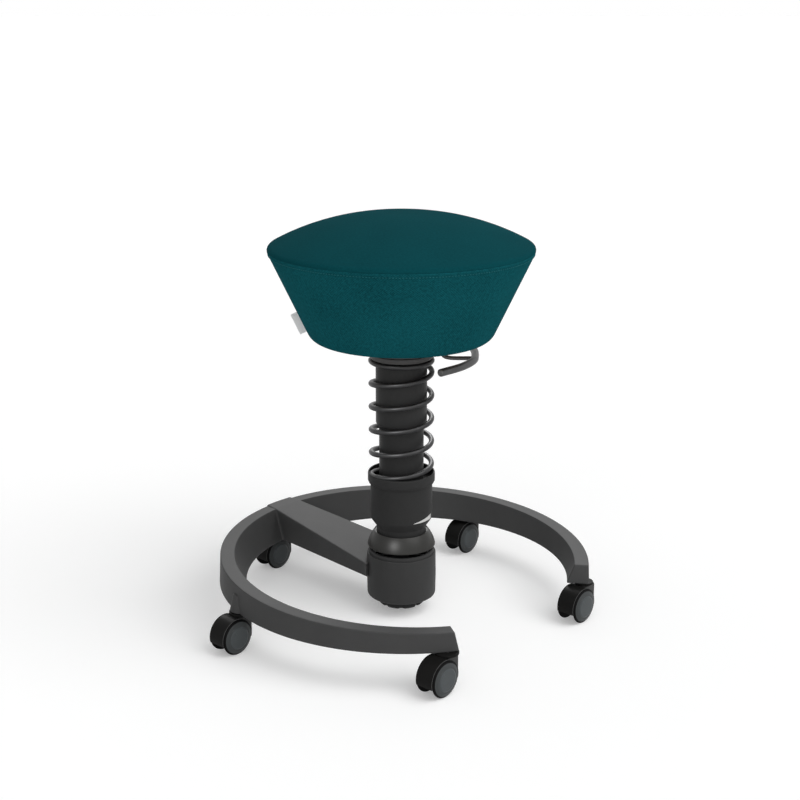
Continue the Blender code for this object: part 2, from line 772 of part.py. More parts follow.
def make_column(column):
    """The tilting column: tube, spring cup, guide bush and bump stop."""
    inner = TUBE_RADIUS - TUBE_WALL
    bottom = COLUMN_FLOOR + FIT
    stop_top = FLANGE_BOTTOM - BOUNCE_TRAVEL - RUN
    tube_top = stop_top - BUMP_STOP - FIT
    turned(
        "column_tube",
        [(TUBE_RADIUS, tube_top), (TUBE_RADIUS, bottom), (inner, bottom), (inner, tube_top)],
        MEDIUM,
        column,
        (BLACK, 0.45),
    )
    turned(
        "bump_stop",
        [
            (TUBE_RADIUS, stop_top),
            (TUBE_RADIUS, tube_top + FIT),
            (inner, tube_top + FIT),
            (inner, stop_top),
        ],
        MEDIUM,
        column,
        (RUBBER, 0.8),
    )
    bore = TUBE_RADIUS + FIT
    pocket = SPRING_RADIUS + SPRING_WIRE / 2 + FIT
    turned(
        "spring_cup",
        [
            (RIM_RADIUS, RIM_TOP),
            (RIM_RADIUS, SPRING_FLOOR),
            (CUP_RADIUS, SPRING_FLOOR - FIT),
            (CUP_RADIUS, CUP_BOTTOM),
            (NECK_RADIUS, CONE_BOTTOM),
            (NECK_RADIUS, bottom),
            (bore, bottom),
            (bore, SPRING_FLOOR),
            (pocket, SPRING_FLOOR),
            (pocket, RIM_TOP),
        ],
        FINE,
        column,
        (BLACK, 0.6),
    )
    bush_low = (COLUMN_FLOOR + FLANGE_BOTTOM) / 2
    bush_in = STAND_RADIUS + RUN
    turned(
        "guide_bush",
        [
            (inner - FIT, bush_low + GUIDE_HEIGHT),
            (inner - FIT, bush_low),
            (bush_in, bush_low),
            (bush_in, bush_low + GUIDE_HEIGHT),
        ],
        MEDIUM,
        column,
        (WHITE_PLASTIC, 0.5),
    )


def spring_points():
    """The spring's centre line: a steady right-hand helix between its two seats."""
    low = SPRING_FLOOR + FIT + SPRING_WIRE / 2
    high = SPRING_FLOOR + SPRING_LENGTH + FIT - SPRING_WIRE / 2
    count = math.ceil(SPRING_TURNS * SPRING_POINTS_PER_TURN)
    points = []
    for i in range(count + 1):
        share = i / count
        angle = math.radians(SPRING_START + 360.0 * SPRING_TURNS * share)
        points.append(
            Vector(
                (
                    SPRING_RADIUS * math.cos(angle),
                    SPRING_RADIUS * math.sin(angle),
                    low + (high - low) * share,
                )
            )
        )
    return points


def least_self_gap(points, wire):
    """The least gap between a wire's turns, measured on points of its centre line."""
    dense = []
    for a, b in zip(points, points[1:]):
        dense += [a.lerp(b, t / 4) for t in range(4)]
    apart = 4 * SPRING_POINTS_PER_TURN // 2
    nearest = min(
        (dense[i] - dense[j]).length
        for i in range(len(dense))
        for j in range(i + apart, len(dense))
    )
    return nearest - wire


def make_spring(column):
    """The open coil spring."""
    points = spring_points()
    gap = least_self_gap(points, SPRING_WIRE)
    print(f"coil_spring: least gap between turns {gap * 1000:.2f} mm")
    curve = tube_curve("coil_spring", points, SPRING_WIRE / 2, 1)
    add_object("coil_spring", curve, column, (BLACK, 0.3, 0.3))


def make_sleeve(column):
    """What bounces on the spring: sleeve, top flange, and the lift's stand tube with its bush."""
    inner = TUBE_RADIUS + RUN
    top = FLANGE_BOTTOM - FIT
    bottom = top - SLEEVE_LENGTH
    turned(
        "outer_sleeve",
        [
            (SLEEVE_RADIUS, top),
            (SLEEVE_RADIUS, bottom + SLEEVE_ROUND),
            (SLEEVE_RADIUS - SLEEVE_ROUND / 2, bottom),
            (inner, bottom),
            (inner, top),
        ],
        FINE,
        column,
        (BLACK, 0.5),
    )
    hole = STAND_RADIUS + FIT
    turned(
        "top_flange",
        [
            (FLANGE_RADIUS - RUN, FLANGE_TOP),
            (FLANGE_RADIUS, FLANGE_TOP - RUN),
            (FLANGE_RADIUS, FLANGE_BOTTOM),
            (hole, FLANGE_BOTTOM),
            (hole, FLANGE_TOP),
        ],
        FINE,
        column,
        (BLACK, 0.5),
    )
    stand_in = STAND_RADIUS - STAND_WALL
    rod_hole = ROD_RADIUS + FIT
    turned(
        "lift_stand_tube",
        [
            (STAND_COLLAR_RADIUS, STAND_TOP),
            (STAND_COLLAR_RADIUS, FLANGE_TOP + FIT),
            (STAND_RADIUS, FLANGE_TOP + FIT),
            (STAND_RADIUS, STAND_BOTTOM),
            (rod_hole, STAND_BOTTOM),
            (rod_hole, STAND_BOTTOM + STAND_FLOOR),
            (stand_in, STAND_BOTTOM + STAND_FLOOR),
            (stand_in, STAND_TOP),
        ],
        MEDIUM,
        column,
        (BLACK, 0.4, 0.5),
    )
    bush_in = CYLINDER_RADIUS + FIT
    turned(
        "lift_guide_bush",
        [
            (stand_in - FIT, STAND_TOP - RUN),
            (stand_in - FIT, STAND_TOP - LIFT_BUSH),
            (bush_in, STAND_TOP - LIFT_BUSH),
            (bush_in, STAND_TOP - RUN),
        ],
        MEDIUM,
        column,
        (WHITE_PLASTIC, 0.5),
    )


def make_lift(column):
    """The gas lift: rod and bearing, which turn in the stand tube, and the cylinder above them."""
    bore = CYLINDER_RADIUS - CYLINDER_WALL
    gland = ROD_RADIUS + FIT
    piston_bottom = CYLINDER_BOTTOM + LIFT_TRAVEL + CYLINDER_GLAND + 2 * RUN
    head_top = STAND_BOTTOM - FIT
    turned(
        "lift_rod",
        [
            (0.0, piston_bottom + PISTON),
            (bore - FIT, piston_bottom + PISTON),
            (bore - FIT, piston_bottom),
            (ROD_RADIUS, piston_bottom),
            (ROD_RADIUS, head_top),
            (ROD_HEAD_RADIUS, head_top),
            (ROD_HEAD_RADIUS, head_top - ROD_HEAD),
            (0.0, head_top - ROD_HEAD),
        ],
        COARSE,
        column,
        (STEEL, 0.15, 1.0),
    )
    bearing_bottom = STAND_BOTTOM + STAND_FLOOR + FIT
    turned(
        "thrust_bearing",
        [
            (CYLINDER_RADIUS, BEARING_TOP),
            (CYLINDER_RADIUS, bearing_bottom),
            (gland, bearing_bottom),
            (gland, BEARING_TOP),
        ],
        COARSE,
        column,
        (STEEL, 0.3, 1.0),
    )
    pin_hole = VALVE_RADIUS + FIT
    cap_bottom = CYLINDER_TOP - CYLINDER_GLAND
    gland_top = CYLINDER_BOTTOM + CYLINDER_GLAND
    turned(
        "gas_cylinder",
        [
            (CYLINDER_RADIUS, CYLINDER_TOP),
            (CYLINDER_RADIUS, CYLINDER_BOTTOM),
            (gland, CYLINDER_BOTTOM),
            (gland, gland_top),
            (bore, gland_top),
            (bore, cap_bottom),
            (pin_hole, cap_bottom),
            (pin_hole, CYLINDER_TOP),
        ],
        MEDIUM,
        column,
        (BLACK, 0.25, 0.6),
    )
    valve_bottom = cap_bottom - VALVE_DEPTH
    turned(
        "valve_pin",
        [
            (0.0, VALVE_TOP),
            (VALVE_RADIUS, VALVE_TOP),
            (VALVE_RADIUS, valve_bottom),
            (0.0, valve_bottom),
        ],
        12,
        column,
        (STEEL, 0.3, 1.0),
    )


def seat_outline(inset):
    """(radius, height) down the seat's outside, drawn in by inset: crown, edge, side, bottom edge."""
    side = Vector((SEAT_RADIUS - SEAT_BOTTOM_RADIUS, SEAT_SIDE_HEIGHT)).normalized()
    across = inset / side.y
    rim = Vector((SEAT_RADIUS - across, SEAT_RIM))
    top = SEAT_TOP - inset
    round_top = SEAT_TOP_ROUND - inset
    crown_radius = rim.x - round_top * 0.42
    crown_edge = SEAT_RIM + round_top
    points = []
    for i in range(CROWN_STEPS + 1):
        share = i / CROWN_STEPS
        points.append((crown_radius * share, crown_edge + (top - crown_edge) * (1 - share**2.2)))
    points.append((rim.x - round_top * 0.08, SEAT_RIM + round_top * 0.5))
    points.append((rim.x, SEAT_RIM))
    low = Vector((SEAT_BOTTOM_RADIUS - across, SEAT_BOTTOM + inset))
    round_low = SEAT_BOTTOM_ROUND - inset
    points.append(tuple(rim.lerp(low, 0.5)))
    points.append(tuple(low + side * round_low))
    points.append((low.x - round_low * 0.12, low.y + round_low * 0.28))
    points.append((low.x - round_low, low.y))
    return points


def make_seat(column):
    """The seat: pan, board, cushion, cover, bolts and the bare tab in its side."""
    socket = CYLINDER_RADIUS + FIT
    inner = PAN_RADIUS - PAN_WALL
    socket_top = PAN_INSIDE + PAN_SOCKET_HEIGHT
    pan = turned(
        "seat_pan",
        [
            (PAN_RIM_RADIUS, PAN_TOP),
            (PAN_RIM_RADIUS, PAN_RIM),
            (PAN_RADIUS, PAN_RIM),
            (PAN_RADIUS, PAN_BOTTOM),
            (socket, PAN_BOTTOM),
            (socket, socket_top),
            (socket + PAN_SOCKET_WALL, socket_top),
            (socket + PAN_SOCKET_WALL, PAN_INSIDE),
            (inner, PAN_INSIDE),
            (inner, PAN_TOP),
        ],
        FINE,
        column,
        (CHARCOAL, 0.5, 0.6),
    )
    slot_half = LEVER_BOSS_HALF + 2 * RUN
    slot = box(
        "pan_lever_slot",
        (inner / 2, LEVER_Y - slot_half, PAN_INSIDE + RUN),
        (2 * PAN_RADIUS, LEVER_Y + slot_half, PAN_RIM - 2 * RUN),
        column,
    )
    boolean(pan, slot)
    board = turned(
        "seat_board",
        [
            (BOARD_RADIUS, BOARD_TOP),
            (BOARD_RADIUS, BOARD_BOTTOM),
            (BOARD_HOLE, BOARD_BOTTOM),
            (BOARD_HOLE, BOARD_TOP),
        ],
        FINE,
        column,
        (PLYWOOD, 0.6),
    )
    bolt_circle = (PAN_RADIUS + PAN_RIM_RADIUS) / 2
    bolt_top = BOARD_TOP - 2 * RUN
    for i in range(BOLT_COUNT):
        angle = 2 * math.pi * (i + 0.5) / BOLT_COUNT
        place = Matrix.Translation((bolt_circle * math.cos(angle), bolt_circle * math.sin(angle), 0.0))
        head_top = PAN_RIM - FIT
        turned(
            f"seat_bolt_{i + 1}",
            [
                (0.0, bolt_top),
                (BOLT_RADIUS, bolt_top),
                (BOLT_RADIUS, head_top),
                (BOLT_HEAD_RADIUS, head_top),
                (BOLT_HEAD_RADIUS, head_top - BOLT_HEAD),
                (0.0, head_top - BOLT_HEAD),
            ],
            12,
            column,
            (STEEL, 0.35, 1.0),
            place,
        )
        for piece, label in ((pan, "pan"), (board, "board")):
            hole = cylinder(
                f"bolt_hole_{label}_{i + 1}",
                BOLT_RADIUS + FIT,
                PAN_RIM - RUN,
                BOARD_TOP + RUN,
                12,
                column,
                place=place,
            )
            boolean(piece, hole)

    outside = seat_outline(0.0)
    inside = seat_outline(COVER_WALL)
    hem = BOARD_RADIUS - COVER_HEM
    shell = [*outside, (hem, SEAT_BOTTOM), (hem, SEAT_BOTTOM + COVER_WALL), *reversed(inside)]
    turned("seat_cover", shell, FINE, column, (TEAL, 0.95))
    cushion = seat_outline(COVER_WALL + FIT)
    around = BOARD_RADIUS + FIT
    foam_bottom = BOARD_TOP + FIT
    filled = [point for point in cushion if point[0] > around or point[1] > foam_bottom]
    filled += [(around, cushion[-1][1] + RUN), (around, foam_bottom), (0.0, foam_bottom)]
    turned("seat_cushion", filled, FINE, column, (FOAM, 0.9))

    slope = Vector((SEAT_RADIUS - SEAT_BOTTOM_RADIUS, SEAT_SIDE_HEIGHT)).normalized()
    outward = Vector((slope.y, -slope.x))
    foot = Vector((SEAT_BOTTOM_RADIUS, SEAT_BOTTOM)) + slope * TAB_RISE + outward * FIT
    frame = Matrix(
        (
            (-outward.x, 0.0, -slope.x, -foot.x),
            (0.0, 1.0, 0.0, 0.0),
            (outward.y, 0.0, slope.y, foot.y),
            (0.0, 0.0, 0.0, 1.0),
        )
    )
    half = TAB_THICKNESS / 2
    box("side_tab", (0.0, -half, 0.0), (TAB_REACH, half, TAB_LENGTH), column, (GREY, 0.8), frame)


def make_lever(column):
    """The release lever: a bent grip rod on a thin spoke that tips over a pin beside the lift."""
    pivot_place = Vector((LEVER_PIVOT_X, LEVER_Y, LEVER_PIVOT_Z))
    pivot = axis_empty("lever_pivot", pivot_place, column)
    grip_knots = [Vector((x * LEVER_REACH, y * LEVER_REACH, LEVER_Z)) for x, y in LEVER_GRIP_SHAPE]
    outer_x = grip_knots[3].x - LEVER_GRIP_RADIUS / 2
    spoke_knots = [
        Vector((outer_x, LEVER_Y, LEVER_Z)),
        Vector((outer_x * 0.64, LEVER_Y, LEVER_Z + LEVER_SPOKE_RISE)),
        Vector((FLANGE_RADIUS + LEVER_BEND_OUT, LEVER_Y, LEVER_Z + LEVER_BEND_RISE)),
        Vector((PAN_RADIUS - LEVER_WALL_PASS, LEVER_Y, LEVER_PIVOT_Z - LEVER_WALL_DROP)),
        pivot_place,
    ]
    press = VALVE_TOP + LEVER_SPOKE_RADIUS + FIT
    over_valve = LEVER_PIVOT_X * 5 / 13
    beyond_valve = LEVER_PIVOT_X / 13
    finger_knots = [
        pivot_place,
        Vector((LEVER_PIVOT_X * 8 / 13, LEVER_Y * 11 / 12, (LEVER_PIVOT_Z + press) / 2)),
        Vector((over_valve, over_valve, press)),
        Vector((-beyond_valve, -beyond_valve, press)),
    ]
    grip_points = [p - pivot_place for p in smooth_path(grip_knots, 3)]
    spoke_points = [p - pivot_place for p in smooth_path(spoke_knots, 3)]
    finger_points = [p - pivot_place for p in finger_knots]
    look = (BLACK, 0.3, 0.3)
    lever = add_object(
        "release_lever", tube_mesh("release_lever", grip_points, LEVER_GRIP_RADIUS, 2), pivot, look
    )
    spoke_mesh = tube_mesh("lever_spoke", spoke_points, LEVER_SPOKE_RADIUS, 1)
    finger_mesh = tube_mesh("lever_finger", finger_points, LEVER_SPOKE_RADIUS, 1)
    across = along_z_to((0.0, 1.0, 0.0))
    boss = cylinder(
        "lever_boss",
        LEVER_BOSS_RADIUS,
        -LEVER_BOSS_HALF,
        LEVER_BOSS_HALF,
        16,
        pivot,
        place=across,
    )
    boolean(lever, add_object("lever_spoke", spoke_mesh, pivot), "UNION")
    boolean(lever, boss, "UNION")
    boolean(lever, add_object("lever_finger", finger_mesh, pivot), "UNION")
    reach = LEVER_BOSS_HALF + RUN + BRACKET_WALL
    bore = cylinder("lever_bore", LEVER_PIN_RADIUS + FIT, -reach, reach, 16, pivot, place=across)
    boolean(lever, bore)
    cylinder(
        "lever_pin",
        LEVER_PIN_RADIUS,
        -reach,
        reach,
        16,
        pivot,
        (STEEL, 0.3, 1.0),
        across,
    )
    half_x = LEVER_BOSS_RADIUS
    floor = PAN_INSIDE + FIT - LEVER_PIVOT_Z
    ears = LEVER_BOSS_HALF + RUN
    bracket = box(
        "lever_bracket",
        (-half_x, -reach, floor),
        (half_x, reach, LEVER_BOSS_RADIUS),
        pivot,
        (STEEL, 0.4, 1.0),
    )
    gap = box(
        "bracket_gap",
        (-2 * half_x, -ears, floor + RUN + BRACKET_WALL / 4),
        (2 * half_x, ears, 2 * LEVER_BOSS_RADIUS),
        pivot,
    )
    boolean(bracket, gap)
    hole = cylinder(
        "bracket_bore", LEVER_PIN_RADIUS + FIT, -2 * reach, 2 * reach, 16, pivot, place=across
    )
    boolean(bracket, hole)


def make_castor(name, stem, centre):
    """One twin-wheel castor: a stem in the ring, and a hood, axle and two wheels that swivel on it."""
    cylinder(
        f"castor_{name}_stem",
        STEM_RADIUS,
        RING_BOTTOM - STEM_IN_HOOD,
        RING_BOTTOM + STEM_IN_RING,
        16,
        centre,
        (STEEL, 0.35, 1.0),
        Matrix.Translation((*stem, 0.0)),
    )
    swivel = axis_empty(f"castor_{name}_swivel", (*stem, 0.0), centre, CASTOR_HEADING)
    half = HOOD_WIDTH / 2
    at_axle = Matrix.Translation((0.0, -CASTOR_TRAIL, WHEEL_RADIUS))
    along_axle = at_axle @ along_z_to((1.0, 0.0, 0.0))
    hood = cylinder(
        f"castor_{name}_hood",
        WHEEL_RADIUS - HOOD_SHRINK,
        -half,
        half,
        COARSE,
        swivel,
        (BLACK, 0.45),
        along_axle,
    )
    top = RING_BOTTOM - FIT
    over_wheels = 2 * WHEEL_RADIUS + 2 * RUN
    housing = cylinder(
        f"housing_{name}", COLLAR_RADIUS - RUN, WHEEL_RADIUS, over_wheels + RUN, COARSE, swivel
    )
    between_wheels = box(
        f"housing_trim_{name}",
        (RUN - half, -WHEEL_RADIUS, 0.0),
        (half - RUN, WHEEL_RADIUS, RING_BOTTOM),
        swivel,
    )
    boolean(housing, between_wheels, "INTERSECT")
    collar = cylinder(f"collar_{name}", COLLAR_RADIUS, over_wheels, top, COARSE, swivel)
    floor_cut = box(
        f"hood_foot_{name}",
        (-HOOD_WIDTH, -CASTOR_TRAIL - 2 * WHEEL_RADIUS, -WHEEL_RADIUS),
        (HOOD_WIDTH, WHEEL_RADIUS, HOOD_LIFT),
        swivel,
    )
    stem_bore = cylinder(
        f"stem_bore_{name}",
        STEM_RADIUS + FIT,
        RING_BOTTOM - STEM_IN_HOOD - FIT,
        RING_BOTTOM + RUN,
        16,
        swivel,
    )
    axle_bore = cylinder(
        f"axle_bore_{name}", AXLE_RADIUS + FIT, -HOOD_WIDTH, HOOD_WIDTH, 16, swivel, place=along_axle
    )
    boolean(hood, housing, "UNION")
    boolean(hood, collar, "UNION")
    for tool in (floor_cut, stem_bore, axle_bore):
        boolean(hood, tool)

    near = half + RUN
    far = near + WHEEL_WIDTH
    bore_end = far - WHEEL_WEB
    axle_half = bore_end - RUN
    cylinder(
        f"castor_{name}_axle",
        AXLE_RADIUS,
        -axle_half,
        axle_half,
        16,
        swivel,
        (STEEL, 0.3, 1.0),
        along_axle,
    )
    tread = WHEEL_RADIUS / math.cos(math.pi / WHEEL_STEPS)
    bore = AXLE_RADIUS + FIT
    face = far - DISC_RISE
    profile = [
        (0.0, far),
        (DISC_RADIUS, far),
        (DISC_RADIUS + DISC_RISE, face),
        (tread - WHEEL_ROUND, face),
        (tread, face - WHEEL_ROUND),
        (tread, near),
        (bore, near),
        (bore, bore_end),
        (0.0, bore_end),
    ]
    half_step = Matrix.Rotation(math.pi / WHEEL_STEPS, 4, "Z")
    for label, side in (("wheel_a", 1.0), ("wheel_b", -1.0)):
        place = at_axle @ Matrix.Rotation(side * math.pi / 2, 4, "Y") @ half_step
        turned(f"castor_{name}_{label}", profile, WHEEL_STEPS, swivel, (BLACK, 0.4), place)


def main():
    """Builds the stool from the floor up."""
    column = axis_empty("column_axis", (COLUMN_X, COLUMN_Y, 0.0))
    away = math.radians(ARM_ANGLE + 180.0)
    centre = axis_empty(
        "ring_centre", (RING_OFFSET * math.cos(away), RING_OFFSET * math.sin(away), 0.0), column
    )
    make_ring(centre)
    make_arm(column, centre)
    make_hub(column)
    make_tilt_joint(column)
    make_tilt_cap(column)
    make_tilt_preload(column)
    make_column(column)
    make_spring(column)
    make_sleeve(column)
    make_lift(column)
    make_seat(column)
    make_lever(column)
    for name, x, y in castor_places():
        make_castor(name, (x, y), centre)


clear_scene()
STOOL = new_collection("spring_balance_stool")
CUTTERS = new_collection("cutters")
main()
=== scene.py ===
"""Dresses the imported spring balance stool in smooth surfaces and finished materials.

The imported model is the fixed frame. Each visible node is stood in for by a surface worked out on a
grid with numpy, in the same metres and the same places, and every other node gets its finish.
"""

from __future__ import annotations

import json
import logging
import math
from collections.abc import Sequence
from dataclasses import dataclass, field
from enum import Enum
from typing import Any

import bmesh
import bpy
import numpy as np
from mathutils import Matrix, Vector

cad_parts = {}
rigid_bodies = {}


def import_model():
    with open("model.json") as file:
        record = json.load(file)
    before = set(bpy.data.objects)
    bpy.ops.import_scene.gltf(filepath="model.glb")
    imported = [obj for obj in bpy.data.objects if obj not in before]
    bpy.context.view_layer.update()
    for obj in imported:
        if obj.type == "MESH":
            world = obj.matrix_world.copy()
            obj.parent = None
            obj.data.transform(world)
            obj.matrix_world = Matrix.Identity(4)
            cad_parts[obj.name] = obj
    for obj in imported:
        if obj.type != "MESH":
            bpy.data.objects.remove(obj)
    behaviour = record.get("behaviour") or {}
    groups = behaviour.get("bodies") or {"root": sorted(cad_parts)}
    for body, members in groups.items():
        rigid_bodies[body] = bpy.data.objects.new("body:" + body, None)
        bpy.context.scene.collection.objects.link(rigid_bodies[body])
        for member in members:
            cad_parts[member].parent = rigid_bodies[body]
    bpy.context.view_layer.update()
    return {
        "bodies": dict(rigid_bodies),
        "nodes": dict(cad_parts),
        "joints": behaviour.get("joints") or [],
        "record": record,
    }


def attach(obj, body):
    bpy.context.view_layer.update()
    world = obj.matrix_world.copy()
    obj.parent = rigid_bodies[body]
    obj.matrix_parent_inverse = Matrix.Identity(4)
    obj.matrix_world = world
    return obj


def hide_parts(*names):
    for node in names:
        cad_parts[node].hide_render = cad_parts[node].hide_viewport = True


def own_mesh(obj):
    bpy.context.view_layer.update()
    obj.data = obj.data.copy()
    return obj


Array = np.ndarray
Colour = tuple[float, float, float]

LOG = logging.getLogger("stool")

ARM_ANGLE = math.radians(138.0)
ARM_WAY = np.array((math.cos(ARM_ANGLE), math.sin(ARM_ANGLE), 0.0))
ARM_SIDE = np.array((-math.sin(ARM_ANGLE), math.cos(ARM_ANGLE), 0.0))
COLUMN_AXIS = np.array((-0.0080, 0.0193, 0.0))
RING_OFFSET = 0.0064
RING_CENTRE = COLUMN_AXIS - RING_OFFSET * ARM_WAY
RING_BOTTOM = 0.0548
HUB_RADIUS = 0.0503
STEM_CIRCLE = 0.2605
CASTOR_NAMES = ("arm", "back", "right", "front", "left")
NARROW_COLLARS = {"right": 0.0125}
END_ROWS = 6
UP = (0.0, 0.0, 1.0)
WHITE = (1.0, 1.0, 1.0, 1.0)


class Body(Enum):
    """The moving bodies that the new pieces ride on."""

    BASE = "base"
    COLUMN = "column"
    SLEEVE = "sleeve"
    SEAT = "seat"
    LEVER = "lever"
    HANDWHEEL = "handwheel"


class Slot(Enum):
    """The record's material slots, listed in the build plans beside some new pieces but not given to them."""

    FRAME = "frame_coat"
    BLACK_COAT = "black_coat"
    SPRING = "spring_coat"
    BLACK_PLASTIC = "black_plastic"
    SATIN_PLASTIC = "satin_plastic"
    PALE_PLASTIC = "pale_plastic"
    CASTOR = "castor_plastic"
    WHEEL = "castor_wheel"
    FABRIC = "seat_fabric"
    TAB = "tab_fabric"


class WheelSide(Enum):
    """The two wheels of a castor and the way each one faces along the axle."""

    A = 1.0
    B = -1.0


# Surfaces


@dataclass
class Skin:
    """A surface held as arrays: points (n, 3), four-sided faces (m, 4), a finish number per face and,
    where a pattern follows the surface, the flat place of each face corner (m, 4, 2)."""

    points: Array
    faces: Array
    finish: Array
    flat: Array | None = None

    def moved(self, offset: Sequence[float] | Array) -> Skin:
        """The same surface, shifted by an offset."""
        return Skin(self.points + np.asarray(offset, float), self.faces, self.finish, self.flat)

    def turned(self, axes: Array, origin: Sequence[float] | Array) -> Skin:
        """The surface carried into a frame: each point is origin + x * axes[0] + y * axes[1] + z * axes[2].

        Args:
            axes: Three direction rows.
            origin: Where the surface's own origin goes.

        Returns:
            The surface in its new place.
        """
        points = self.points @ np.asarray(axes, float) + np.asarray(origin, float)
        return Skin(points, self.faces, self.finish, self.flat)


def joined(*skins: Skin) -> Skin:
    """Several surfaces in one set of arrays, with the later faces' numbers moved on.

    Args:
        skins: The surfaces, none of which has a flat place.

    Returns:
        All of them as one.
    """
    starts = np.cumsum([0] + [len(s.points) for s in skins[:-1]])
    return Skin(
        np.concatenate([s.points for s in skins]),
        np.concatenate([s.faces + start for s, start in zip(skins, starts)]),
        np.concatenate([s.finish for s in skins]),
    )


def grid_faces(rows: int, columns: int, wrap_rows: bool, wrap_columns: bool) -> Array:
    """Faces of a grid of points numbered row by row: (i, j), (i+1, j), (i+1, j+1), (i, j+1).

    Args:
        rows: Points down the grid.
        columns: Points across the grid.
        wrap_rows: Whether the last row joins the first.
        wrap_columns: Whether the last column joins the first.

    Returns:
        Point numbers, four to a face.
    """
    i = np.arange(rows if wrap_rows else rows - 1)[:, None]
    j = np.arange(columns if wrap_columns else columns - 1)[None, :]
    down, right = (i + 1) % rows, (j + 1) % columns
    corners = (i * columns + j, down * columns + j, down * columns + right, i * columns + right)
    return np.stack(np.broadcast_arrays(*corners), -1).reshape(-1, 4)


def grid_skin(points: Array, wrap_rows: bool, wrap_columns: bool) -> Skin:
    """A surface from a grid of points (rows, columns, 3)."""
    faces = grid_faces(points.shape[0], points.shape[1], wrap_rows, wrap_columns)
    return Skin(points.reshape(-1, 3), faces, np.zeros(len(faces), int))


def unit(vectors: Array) -> Array:
    """Vectors at length one, along the last axis."""
    return vectors / np.maximum(np.linalg.norm(vectors, axis=-1, keepdims=True), 1e-12)


def ease(share: Array) -> Array:
    """A smooth step: 3 s^2 - 2 s^3 with s held between 0 and 1."""
    held = np.clip(share, 0.0, 1.0)
    return held * held * (3.0 - 2.0 * held)


def rounded(corners: Array, radii: Sequence[float], steps: int, closed: bool) -> Array:
    """A polygon with its corners rounded: each corner becomes an arc that touches its two sides.

    The arc's centre lies on the corner's bisector at radius / sin(half angle), and its points run
    from one touching point to the other by turning the spoke evenly.

    Args:
        corners: Points (..., n, 2); leading axes are separate polygons.
        radii: One radius to a corner; 0 leaves it sharp.
        steps: Spans to an arc.
        closed: Whether the last corner joins the first.

    Returns:
        Points (..., n * (steps + 1), 2); the two ends of an open line keep their places.
    """
    radius = np.asarray(radii, float)[:, None]
    back = unit(np.roll(corners, 1, -2) - corners)
    ahead = unit(np.roll(corners, -1, -2) - corners)
    if not closed:
        radius[[0, -1]] = 0.0
    half = np.arccos(np.clip((back * ahead).sum(-1, keepdims=True), -0.999999, 0.999999)) / 2
    centre = corners + unit(back + ahead) * radius / np.sin(half)
    first = corners + back * radius / np.tan(half) - centre
    last = corners + ahead * radius / np.tan(half) - centre
    sweep = (math.pi - 2 * half)[..., None, :]
    share = np.linspace(0.0, 1.0, steps + 1)[:, None]
    spokes = first[..., None, :] * np.sin((1 - share) * sweep) + last[..., None, :] * np.sin(share * sweep)
    arcs = centre[..., None, :] + spokes / np.maximum(np.sin(sweep), 1e-9)
    return arcs.reshape(*corners.shape[:-2], -1, 2)


def without_repeats(line: Array) -> Array:
    """A line of points without those that stand on the one before."""
    keep = np.linalg.norm(np.diff(line, axis=0, prepend=line[:1] + 1.0), axis=1) > 1e-7
    return line[keep]


def polar(radius: Array | float, angle: Array, height: Array | float) -> Array:
    """Points from radius, angle and height: x = r cos a, y = r sin a, z = height."""
    return np.stack(np.broadcast_arrays(radius * np.cos(angle), radius * np.sin(angle), height), -1)


def full_turn(steps: int) -> Array:
    """Evenly spaced angles round a whole turn, whose end isn't repeated."""
    return np.linspace(0.0, 2 * math.pi, steps, endpoint=False)


def lathe(line: Array, steps: int, closed: bool) -> Skin:
    """A line of (radius, height) turned about Z, with every row kept.

    Args:
        line: Points (n, 2); an open line starts and ends on the axis.
        steps: Points round the axis.
        closed: Whether the line is a closed loop, as in a tube.

    Returns:
        The turned surface, standing on the Z axis.
    """
    return grid_skin(polar(line[:, :1], full_turn(steps), line[:, 1:]), closed, True)


def rounded_line(corners: Sequence[tuple[float, float, float]], closed: bool, arc_steps: int = 6) -> Array:
    """A line from corners of (across or radius, height, rounding), without repeated points."""
    table = np.array(corners, float)
    return without_repeats(rounded(table[:, :2], table[:, 2], arc_steps, closed))


def turned_piece(corners: Sequence[tuple[float, float, float]], steps: int, closed: bool = True) -> Skin:
    """A lathe surface from corners of (radius, height, rounding)."""
    return lathe(rounded_line(corners, closed), steps, closed)


def loft(loops: Array) -> Skin:
    """Closed loops (n, m, 3) joined one to the next, with each end drawn in to its middle point."""
    ends = [np.broadcast_to(loop.mean(0), (1, *loop.shape)) for loop in (loops[0], loops[-1])]
    return grid_skin(np.concatenate((ends[0], loops, ends[1])), False, True)


def smooth_path(knots: Array, per_span: int) -> Array:
    """Points on the Catmull-Rom curve through knots: a cubic to each span whose slope at a knot is
    half the way from the knot before to the knot after.

    Args:
        knots: Points (n, 3).
        per_span: Points to a span.

    Returns:
        The curve's points.
    """
    line = np.concatenate((2 * knots[:1] - knots[1:2], knots, 2 * knots[-1:] - knots[-2:-1]))
    a, b, c, d = (line[i : len(line) - 3 + i, None] for i in range(4))
    t = np.linspace(0.0, 1.0, per_span, endpoint=False)[None, :, None]
    rows = 2 * b + (c - a) * t + (2 * a - 5 * b + 4 * c - d) * t**2 + (3 * b - a - 3 * c + d) * t**3
    return np.concatenate((0.5 * rows.reshape(-1, 3), knots[-1:]))


def end_arc(rows: int) -> tuple[Array, Array]:
    """Rows of a rounded end: how far each runs on, sin(a), and draws in, 1 - cos(a), in roundings."""
    turn = np.linspace(math.pi / 2, 0.0, rows)
    return np.sin(turn), 1 - np.cos(turn)


